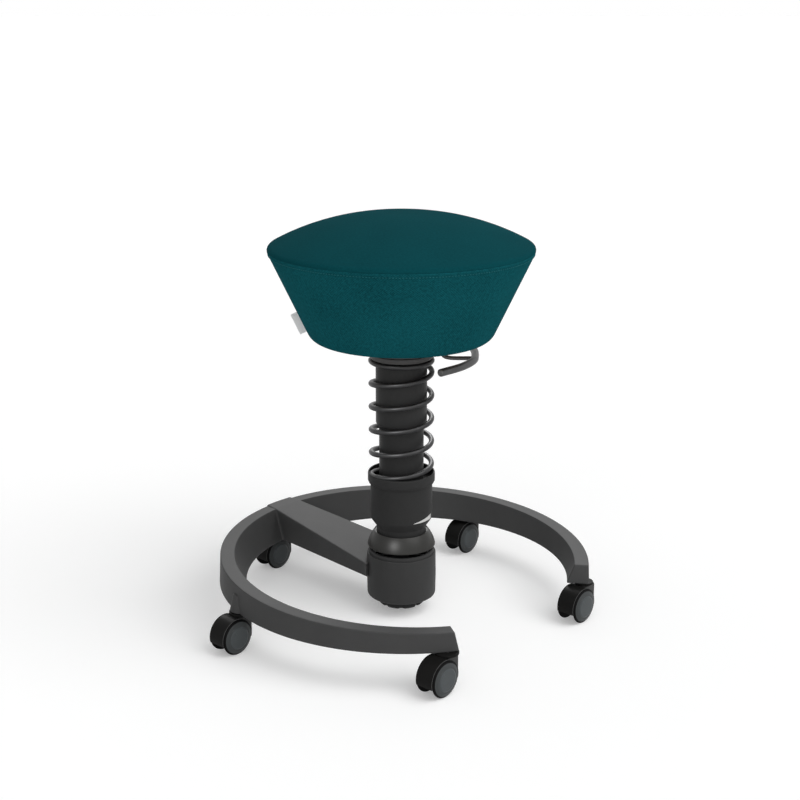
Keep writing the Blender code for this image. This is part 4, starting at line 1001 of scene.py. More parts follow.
@dataclass
class Hub:
    """The hub housing, the dome over it and the handwheel under it."""

    bottom: float = 0.023
    taper: float = 0.0006
    foot_round: float = 0.0046
    shoulder: float = 0.0892
    groove_width: float = 0.0009
    groove_depth: float = 0.0016
    collar_radius: float = 0.0473
    collar_top: float = 0.0944
    barrel_round: float = 0.3
    bore: float = 0.044
    inside: float = 0.031
    spindle_hole: float = 0.008
    cap_radius: float = 0.0503
    cap_wall: float = 0.0024
    cap_centre: float = 0.0904
    cap_skirt: float = 0.1006
    cap_opening: float = 0.0382
    cap_lip_drop: float = 0.0022
    cap_edges: tuple[float, float, float] = (0.0007, 0.0006, 0.0004)
    neck_grip: float = 0.0360
    wheel_radius: float = 0.034
    wheel_top: float = 0.0227
    wheel_bottom: float = 0.0099
    wheel_chamfer: float = 0.003
    wheel_lobes: int = 8
    wheel_notch: float = 0.0030
    wheel_notch_inside: float = 0.6
    wheel_lobe_level: float = 0.35
    wheel_steps: int = 192
    spindle_socket: float = 0.0078
    spindle_bottom: float = 0.0128
    steps: int = 128

    def housing(self) -> Skin:
        """The turned housing: barrel side, grooved shoulder, collar, bore and floor hole."""
        middle = (self.bottom + self.shoulder) / 2
        side = HUB_RADIUS - self.taper
        groove_side, groove_floor = self.collar_radius + self.groove_width, self.shoulder - self.groove_depth
        return turned_piece(
            (
                (self.collar_radius, self.collar_top, 0.0008),
                (self.collar_radius, groove_floor, 0.0),
                (groove_side, groove_floor, 0.0),
                (groove_side, self.shoulder, 0.0003),
                (side, self.shoulder, 0.0012),
                (HUB_RADIUS, middle, self.barrel_round),
                (side, self.bottom, self.foot_round),
                (self.spindle_hole, self.bottom, 0.0004),
                (self.spindle_hole, self.inside, 0.0004),
                (self.bore, self.inside, 0.001),
                (self.bore, self.collar_top, 0.0006),
            ),
            self.steps,
        )

    def cap(self) -> Skin:
        """The dome: two spheres' arcs joined by a rounded skirt and a sunk lip round the neck."""
        outer, inner = self.cap_radius, self.cap_radius - self.cap_wall
        skirt = self.cap_skirt - self.cap_centre
        lip = math.sqrt(outer**2 - self.cap_opening**2) - self.cap_lip_drop
        under = lip - self.cap_wall
        outer_turn = np.linspace(math.acos(self.cap_opening / outer), math.asin(skirt / outer), 22)
        inner_turn = np.linspace(math.asin(skirt / inner), math.asin(under / inner), 16)
        outside = outer * np.stack((np.cos(outer_turn), np.sin(outer_turn)), -1)
        inside = inner * np.stack((np.cos(inner_turn), np.sin(inner_turn)), -1)
        lips = np.array(((self.neck_grip, under), (self.neck_grip, lip), (self.cap_opening, lip)))
        line = np.concatenate((outside, inside, lips))
        edges = np.zeros(len(line))
        edges[[0, len(outside) - 1, len(outside)]] = self.cap_edges
        profile = without_repeats(rounded(line, edges, 4, True) + (0.0, self.cap_centre))
        return lathe(profile, self.steps, True)

    def handwheel(self) -> Skin:
        """The lobed wheel: a turned profile whose outer radius is scooped by notch * ease(valley).

        The valley is the part of cos(lobes * a) over the lobe level, from 0 to 1, and the scoop fades out
        towards the inside.

        Returns:
            The closed wheel about the column's axis.
        """
        line = rounded_line(
            (
                (0.0, self.spindle_bottom, 0.0),
                (self.spindle_socket, self.spindle_bottom, 0.0),
                (self.spindle_socket, self.wheel_top, 0.0),
                (self.wheel_radius, self.wheel_top, 0.0008),
                (self.wheel_radius, self.wheel_bottom + self.wheel_chamfer, 0.002),
                (self.wheel_radius - self.wheel_chamfer, self.wheel_bottom, 0.0018),
                (0.0, self.wheel_bottom, 0.0),
            ),
            False,
        )
        angle = full_turn(self.wheel_steps)
        level, inside = self.wheel_lobe_level, self.wheel_notch_inside * self.wheel_radius
        valley = np.clip(np.cos(self.wheel_lobes * angle) - level, 0.0, 1.0) / (1 - level)
        outer = ease((line[:, :1] - inside) / (self.wheel_radius - inside))
        radius = line[:, :1] - self.wheel_notch * outer * ease(valley)
        return grid_skin(polar(radius, angle, line[:, 1:]), False, True)

    def build(self, shop: Workshop) -> None:
        """Makes the three turned pieces."""
        plan = (
            ("hub_housing", self.housing(), Body.BASE, Finishes.HUB, Slot.FRAME),
            ("tilt_cap", self.cap(), Body.COLUMN, Finishes.CAP, Slot.SATIN_PLASTIC),
            ("tilt_handwheel", self.handwheel(), Body.HANDWHEEL, Finishes.KNOB, Slot.BLACK_PLASTIC),
        )
        for node, skin, body, finish, slot in plan:
            shop.stand_in(node, skin.moved(COLUMN_AXIS), body.value, (finish,))


@dataclass
class SpringColumn:
    """The tilting column: tube, spring cup with its plain pale wedge, and the coil spring."""

    bottom: float = 0.1051
    tube_radius: float = 0.0318
    tube_wall: float = 0.003
    tube_top: float = 0.319068
    neck_radius: float = 0.0357
    cone_bottom: float = 0.129968
    cup_radius: float = 0.0444
    cup_bottom: float = 0.142468
    spring_floor: float = 0.195568
    rim_radius: float = 0.0481
    rim_depth: float = 0.0030
    rim_top: float = 0.211068
    pocket: float = 0.04695
    wire: float = 0.0075
    coil_radius: float = 0.0429
    coil_length: float = 0.1828
    coil_turns: float = 5.19
    coil_close: float = 0.62
    coil_start: float = math.radians(110.0)
    coil_rows: int = 80
    wire_sides: int = 20
    wire_end_round: float = 0.0008
    travel: float = 0.045
    seat_gap: float = 0.0003
    mark_from: float = math.radians(-68.0)
    mark_to: float = math.radians(-20.0)
    mark_lift: float = 0.0020
    mark_tip: float = 0.0001
    mark_height: float = 0.0070
    mark_power: float = 0.85
    mark_proud: float = 0.00015
    mark_rows: int = 40
    steps: int = 128
    tube_steps: int = 96

    def tube(self) -> Skin:
        """The plain tube that the sleeve slides on."""
        inner = self.tube_radius - self.tube_wall
        return turned_piece(
            (
                (self.tube_radius, self.tube_top, 0.0008),
                (self.tube_radius, self.bottom, 0.0004),
                (inner, self.bottom, 0.0004),
                (inner, self.tube_top, 0.0006),
            ),
            self.tube_steps,
        )

    def cup(self) -> Skin:
        """The spring cup: rounded rim over a 45 degree edge, straight body, cone and neck."""
        bore = self.tube_radius + self.seat_gap
        rim_low = self.spring_floor + self.rim_depth
        rim_step = self.rim_radius - self.cup_radius
        return turned_piece(
            (
                (self.rim_radius, self.rim_top, 0.0020),
                (self.rim_radius, rim_low, 0.0015),
                (self.cup_radius, rim_low - rim_step, 0.0012),
                (self.cup_radius, self.cup_bottom, 0.0060),
                (self.neck_radius, self.cone_bottom, 0.0030),
                (self.neck_radius, self.bottom, 0.0004),
                (bore, self.bottom, 0.0003),
                (bore, self.spring_floor, 0.0006),
                (self.pocket, self.spring_floor, 0.0010),
                (self.pocket, self.rim_top, 0.0005),
            ),
            self.steps,
        )

    def spring(self) -> Skin:
        """The wire along a helix: height grows evenly with angle, then lies flat for the closing turn."""
        whole = self.coil_turns + self.coil_close
        turns = np.linspace(0.0, whole, int(whole * self.coil_rows))
        low = self.spring_floor + self.seat_gap + self.wire / 2
        high = self.spring_floor + self.coil_length + self.seat_gap - self.wire / 2
        height = low + (high - low) * np.minimum(turns / self.coil_turns, 1.0)
        path = polar(self.coil_radius, self.coil_start + 2 * math.pi * turns, height)
        return rod(path, self.wire / 2, self.wire_sides, UP, self.wire_end_round)

    def mark(self) -> Skin:
        """The plain wedge: a thin patch on the cup's side that widens as share^power from tip to end.

        The patch is a closed slab: its outside stands mark_proud over the cup, its inside is sunk as
        far under the cup's surface, and its two edges close between tip and end.

        Returns:
            The closed slab.
        """
        share = np.linspace(0.0, 1.0, self.mark_rows)[:, None]
        turn = self.mark_from + (self.mark_to - self.mark_from) * share
        width = self.mark_tip + self.mark_height * share**self.mark_power
        loop = np.array(((0.0, 1.0), (0.33, 1.0), (0.66, 1.0), (1.0, 1.0), (1.0, -1.0), (0.0, -1.0)))
        height = self.cup_bottom + self.mark_lift + width * loop[:, 0]
        return loft(polar(self.cup_radius + self.mark_proud * loop[:, 1], turn, height))

    def build(self, shop: Workshop) -> None:
        """Makes the tube, cup, wedge and spring, and gives the spring a mesh of its own."""
        column = Body.COLUMN.value
        tube, cup = self.tube().moved(COLUMN_AXIS), self.cup().moved(COLUMN_AXIS)
        shop.stand_in("column_tube", tube, column, (Finishes.TUBE,))
        shop.stand_in("spring_cup", cup, column, (Finishes.CUP,))
        wedge = shop.mesh("cup_wedge", self.mark().moved(COLUMN_AXIS))
        shop.settle(wedge, column, (Finishes.MARK,))
        coil = self.spring().moved(COLUMN_AXIS)
        piece = shop.stand_in("coil_spring", coil, column, (Finishes.SPRING,))
        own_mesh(piece)


@dataclass
class Sleeve:
    """What bounces on the spring, and the gas cylinder that stands in it."""

    sleeve_radius: float = 0.0363
    sleeve_inner: float = 0.0323
    sleeve_bottom: float = 0.283068
    sleeve_top: float = 0.378668
    flange_radius: float = 0.044
    flange_bottom: float = 0.378968
    flange_top: float = 0.381568
    flange_rim: float = 0.0030
    flange_rim_top: float = 0.3860
    stand_radius: float = 0.020
    stand_inner: float = 0.0175
    stand_bottom: float = 0.1571
    stand_floor: float = 0.004
    stand_collar: float = 0.025
    stand_top: float = 0.385868
    rod_hole: float = 0.0053
    cylinder_radius: float = 0.014
    cylinder_bore: float = 0.012
    cylinder_bottom: float = 0.1874
    cylinder_top: float = 0.396868
    gland: float = 0.006
    pin_hole: float = 0.0033
    fit_gap: float = 0.0003
    steps: int = 112
    stand_steps: int = 80
    cylinder_steps: int = 64

    def sleeve(self) -> Skin:
        """The outer sleeve with a rounded lower edge."""
        return turned_piece(
            (
                (self.sleeve_radius, self.sleeve_top, 0.0004),
                (self.sleeve_radius, self.sleeve_bottom, 0.0026),
                (self.sleeve_inner, self.sleeve_bottom, 0.0006),
                (self.sleeve_inner, self.sleeve_top, 0.0004),
            ),
            self.steps,
        )

    def flange(self) -> Skin:
        """The plate that the spring presses on: a shallow tray with a softly rounded rim."""
        hole = self.stand_radius + self.fit_gap
        inner = self.flange_radius - self.flange_rim
        return turned_piece(
            (
                (self.flange_radius, self.flange_rim_top, 0.0010),
                (self.flange_radius, self.flange_bottom, 0.0009),
                (hole, self.flange_bottom, 0.0003),
                (hole, self.flange_top, 0.0003),
                (inner, self.flange_top, 0.0006),
                (inner, self.flange_rim_top, 0.0006),
            ),
            self.steps,
        )

    def stand(self) -> Skin:
        """The stand tube with its collar on the flange."""
        seat = self.flange_top + self.fit_gap
        return turned_piece(
            (
                (self.stand_collar, self.stand_top, 0.0012),
                (self.stand_collar, seat, 0.0005),
                (self.stand_radius, seat, 0.0),
                (self.stand_radius, self.stand_bottom, 0.001),
                (self.rod_hole, self.stand_bottom, 0.0),
                (self.rod_hole, self.stand_bottom + self.stand_floor, 0.0),
                (self.stand_inner, self.stand_bottom + self.stand_floor, 0.0),
                (self.stand_inner, self.stand_top, 0.0006),
            ),
            self.stand_steps,
        )

    def cylinder(self) -> Skin:
        """The gas cylinder, hollow, with a gland at its foot and a pin hole in its head."""
        return turned_piece(
            (
                (self.cylinder_radius, self.cylinder_top, 0.0010),
                (self.cylinder_radius, self.cylinder_bottom, 0.0010),
                (self.rod_hole, self.cylinder_bottom, 0.0),
                (self.rod_hole, self.cylinder_bottom + self.gland, 0.0),
                (self.cylinder_bore, self.cylinder_bottom + self.gland, 0.0),
                (self.cylinder_bore, self.cylinder_top - self.gland, 0.0),
                (self.pin_hole, self.cylinder_top - self.gland, 0.0),
                (self.pin_hole, self.cylinder_top, 0.0003),
            ),
            self.cylinder_steps,
        )

    def build(self, shop: Workshop) -> None:
        """Makes the sleeve, flange, stand tube and gas cylinder."""
        plan = (
            ("outer_sleeve", self.sleeve(), Body.SLEEVE, Finishes.SLEEVE, Slot.BLACK_PLASTIC),
            ("top_flange", self.flange(), Body.SLEEVE, Finishes.FLANGE, Slot.BLACK_PLASTIC),
            ("lift_stand_tube", self.stand(), Body.SLEEVE, Finishes.TUBE, Slot.BLACK_COAT),
            ("gas_cylinder", self.cylinder(), Body.SEAT, Finishes.TUBE, Slot.BLACK_COAT),
        )
        for node, skin, body, finish, slot in plan:
            shop.stand_in(node, skin.moved(COLUMN_AXIS), body.value, (finish,))


@dataclass
class Seat:
    """The padded seat: a crowned top sewn to a tapering side, its stitches and its bare tab."""

    radius: float = 0.1836
    bottom_radius: float = 0.1258
    bottom: float = 0.406868
    rim: float = 0.529868
    top: float = 0.582368
    top_round: float = 0.0105
    top_inset: float = 0.42
    top_leads: tuple[float, float] = (0.0046, 0.0050)
    bottom_round: float = 0.013
    bottom_lead: float = 0.004
    crown_power: float = 2.2
    fine_side: float = 0.008
    crease_place: float = -0.0030
    crease_depth: float = 0.0006
    crease_width: float = 0.0005
    stitch_place: float = 0.0022
    seam_place: float = 0.0035
    seam_depth: float = 0.0006
    seam_width: float = 0.0008
    hem: float = 0.104
    board_room: float = 0.1143
    board_bottom: float = 0.408468
    board_top: float = 0.421068
    columns: int = 176
    crown_rows: int = 26
    edge_rows: int = 36
    fine_rows: int = 22
    side_rows: int = 20
    foot_rows: int = 12
    hem_rows: int = 6
    weave_radius: float = 0.16
    crown_weave_end: float = -0.0126
    held_by_seam: float = 0.006
    held_rows_below: int = 13
    swell: float = 0.0012
    sharp_angle: float = 60.0
    stitch_count: int = 270
    stitch_length: float = 0.0027
    stitch_radius: float = 0.00050
    stitch_lift: float = 0.00015
    stitch_arch: float = 0.00022
    stitch_rows: int = 7
    stitch_sides: int = 6
    tab_length: float = 0.031
    tab_reach: float = 0.0120
    tab_sink: float = 0.003
    tab_rise: float = 0.0108
    tab_thickness: float = 0.0011
    tab_fold: float = 0.98
    tab_lean: float = 0.0012
    tab_corner: float = 0.0004
    tab_rows: int = 25
    cloth_frames: int = 20

    def slope(self) -> tuple[Array, Array]:
        """The side's upward direction and its outward normal, both as (radius, height)."""
        up = unit(np.array((self.radius - self.bottom_radius, self.rim - self.bottom)))
        return up, np.array((up[1], -up[0]))

    def outline(self) -> tuple[Array, Array]:
        """The closed outline from the crown's middle, down the side, round the hem to the board's room.

        The crown is z = edge + (top - edge) (1 - s^power). The edge is a Bezier curve from the crown's
        slope to the side's slope, the side is straight, and the bottom edge is a Bezier curve again. The
        panels' crease and the stitched line are grooves depth * exp(-((w - place) / width)^2) along the
        normal, with w the way down the outline from the rim.

        Returns:
            Points (n, 2) of (radius, height), and each point's way down from the rim.
        """
        up, _ = self.slope()
        edge_radius = self.radius - self.top_round * self.top_inset
        edge_height = self.rim + self.top_round
        share = np.linspace(0.0, 1.0, self.crown_rows)[:, None]
        rise = (self.top - edge_height) * (1 - share**self.crown_power)
        crown = np.concatenate((edge_radius * share, edge_height + rise), 1)
        fall = unit(np.array((edge_radius, -(self.top - edge_height) * self.crown_power)))
        rim, low = np.array((self.radius, self.rim)), np.array((self.bottom_radius, self.bottom))
        leave, meet = self.top_leads
        edge = self.bezier(crown[-1], crown[-1] + fall * leave, rim + up * meet, rim, self.edge_rows)
        length = np.linalg.norm(rim - low - up * self.bottom_round)
        fine = np.linspace(0.0, self.fine_side, self.fine_rows)
        coarse = np.linspace(self.fine_side, length, self.side_rows)
        side = rim - up * np.concatenate((fine[1:], coarse[1:]))[:, None]
        inward = np.array((-1.0, 0.0))
        turn_in = low + inward * self.bottom_round
        lead = self.bottom_lead
        below = self.bezier(side[-1], low + up * lead, low + inward * lead, turn_in, self.foot_rows)
        hem = np.linspace(turn_in[0], self.hem, self.hem_rows)
        flat = np.stack(np.broadcast_arrays(hem, self.bottom), -1)
        room = np.array(
            (
                (self.hem, self.board_bottom),
                (self.board_room, self.board_bottom),
                (self.board_room, self.board_top),
                (self.board_room * 0.5, self.board_top),
                (0.0, self.board_top),
            )
        )
        line = np.concatenate((crown, edge[1:], side, below[1:], flat[1:], room))
        way = np.concatenate(((0.0,), np.cumsum(np.linalg.norm(np.diff(line, axis=0), axis=1))))
        way -= way[len(crown) + len(edge) - 2]
        along = unit(np.gradient(line, axis=0))
        out = np.stack((-along[:, 1], along[:, 0]), -1)
        crease = self.crease_depth * np.exp(-(((way - self.crease_place) / self.crease_width) ** 2))
        seam = self.seam_depth * np.exp(-(((way - self.seam_place) / self.seam_width) ** 2))
        return line - out * (crease + seam)[:, None], way

    @staticmethod
    def bezier(a: Array, b: Array, c: Array, d: Array, count: int) -> Array:
        """A cubic Bezier curve's points: (1-t)^3 a + 3 t (1-t)^2 b + 3 t^2 (1-t) c + t^3 d."""
        t = np.linspace(0.0, 1.0, count)[:, None]
        return (1 - t) ** 3 * a + 3 * t * (1 - t) ** 2 * b + 3 * t**2 * (1 - t) * c + t**3 * d

    def cushion(self) -> tuple[Skin, Array]:
        """The seat as one turned skin with flat places for the weave.

        On the crown the flat place is the plan (x, y); below the crease it is the way round at a middle
        radius and the way down the outline.

        Returns:
            The skin about the column's axis, whose crown panel has finish 0 and its side 1, and a flag for
            the points that hold still once its two poles are merged.
        """
        line, way = self.outline()
        angle = np.linspace(0.0, 2 * math.pi, self.columns + 1)
        plan = polar(line[:, :1], angle, 0.0)[..., :2]
        around = np.stack(np.broadcast_arrays(angle * self.weave_radius, way[:, None]), -1)
        flat = np.where((way < self.crown_weave_end)[:, None, None], plan, around)
        skin = lathe(line, self.columns, False)
        corners = np.stack((flat[:-1, :-1], flat[1:, :-1], flat[1:, 1:], flat[:-1, 1:]), 2)
        skin.flat = corners.reshape(-1, 4, 2)
        skin.finish = np.repeat((way[1:] > self.crease_place).astype(int), self.columns)
        still = np.abs(way) < self.held_by_seam
        still[-self.held_rows_below :] = True
        return skin, np.concatenate((still[:1], np.repeat(still[1:-1], self.columns), still[-1:]))

    def stitches(self) -> Skin:
        """Short threads along the seam: each a bead that dips into the cloth at both ends.

        A stitch runs along the circle by a; its middle stands lift + arch * cos(pi a / length) over the cloth
        and its thickness falls as sqrt(1 - (2 a / length)^2) to its ends.

        Returns:
            All the stitches.
        """
        up, out = self.slope()
        seat = np.array((self.radius, self.rim)) - up * self.stitch_place
        share = np.linspace(-1.0, 1.0, self.stitch_rows)[None, :, None]
        psi = full_turn(self.stitch_sides)[None, None, :]
        turn = full_turn(self.stitch_count)[:, None, None] + share * self.stitch_length / 2 / seat[0]
        thick = self.stitch_radius * np.sqrt(1 - share**2)
        over = self.stitch_lift + self.stitch_arch * np.cos(share * math.pi / 2) + thick * np.cos(psi)
        aside = thick * np.sin(psi)
        radius, height = (seat[i] + out[i] * over + up[i] * aside for i in (0, 1))
        one = grid_faces(self.stitch_rows, self.stitch_sides, False, True)
        starts = np.arange(self.stitch_count) * self.stitch_rows * self.stitch_sides
        faces = (one + starts[:, None, None]).reshape(-1, 4)
        return Skin(polar(radius, turn, height).reshape(-1, 3), faces, np.zeros(len(faces), int))

    def tab(self) -> Skin:
        """The folded tab: a thin loop of tape, rounded along its outer fold, sewn into the side.

        Its section is a long round-ended slab from inside the cloth to its reach. It is carried up the
        side by s from 0 to 1, leans out of plane by lean * sin(pi s) * (reach share)^2 and loses
        corner * (2 s - 1)^6 of its reach.

        Returns:
            The closed tab with flat places for its weave.
        """
        up, out = self.slope()
        half = self.tab_thickness / 2
        root, tip, fold = -self.tab_sink, self.tab_reach, half * self.tab_fold
        section = rounded_line(
            ((root, -half, 0.0), (tip, -half, fold), (tip, half, fold), (root, half, 0.0)), True, 5
        )
        share = np.linspace(0.0, 1.0, self.tab_rows)[:, None]
        lean = self.tab_lean * np.sin(math.pi * share) * (section[:, 0] / tip) ** 2
        reach = section[:, 0] - self.tab_corner * (2 * share - 1) ** 6
        rise = self.tab_rise + self.tab_length * share + 0 * reach
        foot = np.array((self.bottom_radius, self.bottom))
        radius = foot[0] + up[0] * rise + out[0] * reach
        height = foot[1] + up[1] * rise + out[1] * reach
        skin = loft(np.stack((-radius, section[:, 1] + lean, height), -1))
        at = skin.points[skin.faces]
        skin.flat = np.stack((at[..., 2], -at[..., 0]), -1)
        return skin

    def puff(self, piece: bpy.types.Object, still: Array) -> None:
        """Fills the cover by a short cloth simulation, and caps how far each point may move.

        The seam, the hem and the board's room hold still, pressure pushes the rest out, and a move m is cut
        to swell * tanh(m / swell).

        Args:
            piece: The seat's mesh object.
            still: A flag for each of its points, in order.
        """
        data = piece.data
        rest = np.empty(len(data.vertices) * 3)
        data.vertices.foreach_get("co", rest)
        rest = rest.reshape(-1, 3)
        group = piece.vertex_groups.new(name="held")
        group.add(np.flatnonzero(still).tolist(), 1.0, "REPLACE")
        cloth = piece.modifiers.new("fill", "CLOTH")
        settings = cloth.settings
        settings.quality = 6
        settings.mass = 0.3
        settings.tension_stiffness = settings.compression_stiffness = 25.0
        settings.shear_stiffness = 12.0
        settings.bending_stiffness = 4.0
        settings.use_pressure = True
        settings.uniform_pressure_force = 4.0
        settings.effector_weights.gravity = 0.0
        settings.vertex_group_mass = "held"
        scene = bpy.context.scene
        for frame in range(1, self.cloth_frames + 1):
            scene.frame_set(frame)
        shown = piece.evaluated_get(bpy.context.evaluated_depsgraph_get())
        moved = np.empty(len(data.vertices) * 3)
        shown.data.vertices.foreach_get("co", moved)
        piece.modifiers.remove(cloth)
        piece.vertex_groups.remove(group)
        scene.frame_set(1)
        move = moved.reshape(-1, 3) - rest
        size = np.linalg.norm(move, axis=1, keepdims=True)
        LOG.info("seat cover: cloth moved up to %.2f mm before the cap", size.max() * 1000)
        capped = unit(move) * self.swell * np.tanh(size / self.swell)
        data.vertices.foreach_set("co", (rest + np.where(still[:, None], 0.0, capped)).ravel())
        data.update()

    def build(self, shop: Workshop) -> None:
        """Makes the padded seat, its stitches and its tab."""
        skin, still = self.cushion()
        piece = shop.mesh("seat_padding", skin.moved(COLUMN_AXIS), self.sharp_angle)
        self.puff(piece, still)
        smooth = piece.modifiers.new("smooth", "SUBSURF")
        smooth.levels = smooth.render_levels = 1
        # The crown panel's felt is darker than the side's, as painted shade for the top's stronger light.
        body, panels = Body.SEAT.value, (Finishes.CROWN, Finishes.FELT)
        shop.settle(piece, body, panels, ("seat_cover", "seat_cushion"))
        threads = shop.mesh("seat_stitches", self.stitches().moved(COLUMN_AXIS))
        shop.settle(threads, body, (Finishes.THREAD,))
        tab = shop.mesh("side_tab_folded", self.tab().moved(COLUMN_AXIS))
        shop.settle(tab, body, (Finishes.TAB,), ("side_tab",))


@dataclass
class ReleaseLever:
    """The bent grip rod, its thin spoke, the boss on its pin and the finger over the valve."""

    height: float = 0.371168
    grip_radius: float = 0.0055
    spoke_radius: float = 0.0029
    pivot: tuple[float, float, float] = (0.026, 0.024, 0.397868)
    press: float = 0.404268
    boss_radius: float = 0.0045
    boss_half: float = 0.0045
    boss_steps: int = 40
    pin_hole: float = 0.0025
    grip: tuple[tuple[float, float], ...] = (
        (0.054, -0.056),
        (0.0829, -0.025),
        (0.1005, 0.0075),
        (0.1052, 0.036),
        (0.1055, 0.070),
        (0.1015, 0.100),
    )

    def build(self, shop: Workshop) -> None:
        """Makes the rods along their curves and the boss across its pin; spoke and finger end in the boss."""
        _, y, z = self.pivot
        level = self.height
        grip = np.array([(a, b, level) for a, b in self.grip])
        spoke = np.array(
            (
                (0.10245, y, level),
                (0.065568, y, level + 0.0012),
                (0.055, y, level + 0.011),
                (0.045, y, z - 0.001),
                self.pivot,
            )
        )
        finger = np.array(
            (
                self.pivot,
                (0.016, 0.022, (z + self.press) / 2),
                (0.010, 0.010, self.press),
                (-0.002, -0.002, self.press),
            )
        )
        boss = turned_piece(
            (
                (self.boss_radius, self.boss_half, 0.0005),
                (self.boss_radius, -self.boss_half, 0.0005),
                (self.pin_hole, -self.boss_half, 0.0),
                (self.pin_hole, self.boss_half, 0.0),
            ),
            self.boss_steps,
        ).turned(np.array(((1.0, 0.0, 0.0), UP, (0.0, 1.0, 0.0))), self.pivot)
        skin = joined(
            rod(smooth_path(grip, 14), self.grip_radius, 24, UP, 0.0026),
            rod(smooth_path(spoke, 14)[:-12], self.spoke_radius, 16, (0.0, 1.0, 0.0), 0.0006),
            rod(smooth_path(finger, 10)[5:], self.spoke_radius, 14, UP, 0.0012),
            boss,
        )
        skin = skin.moved(COLUMN_AXIS)
        shop.stand_in("release_lever", skin, Body.LEVER.value, (Finishes.LEVER,))


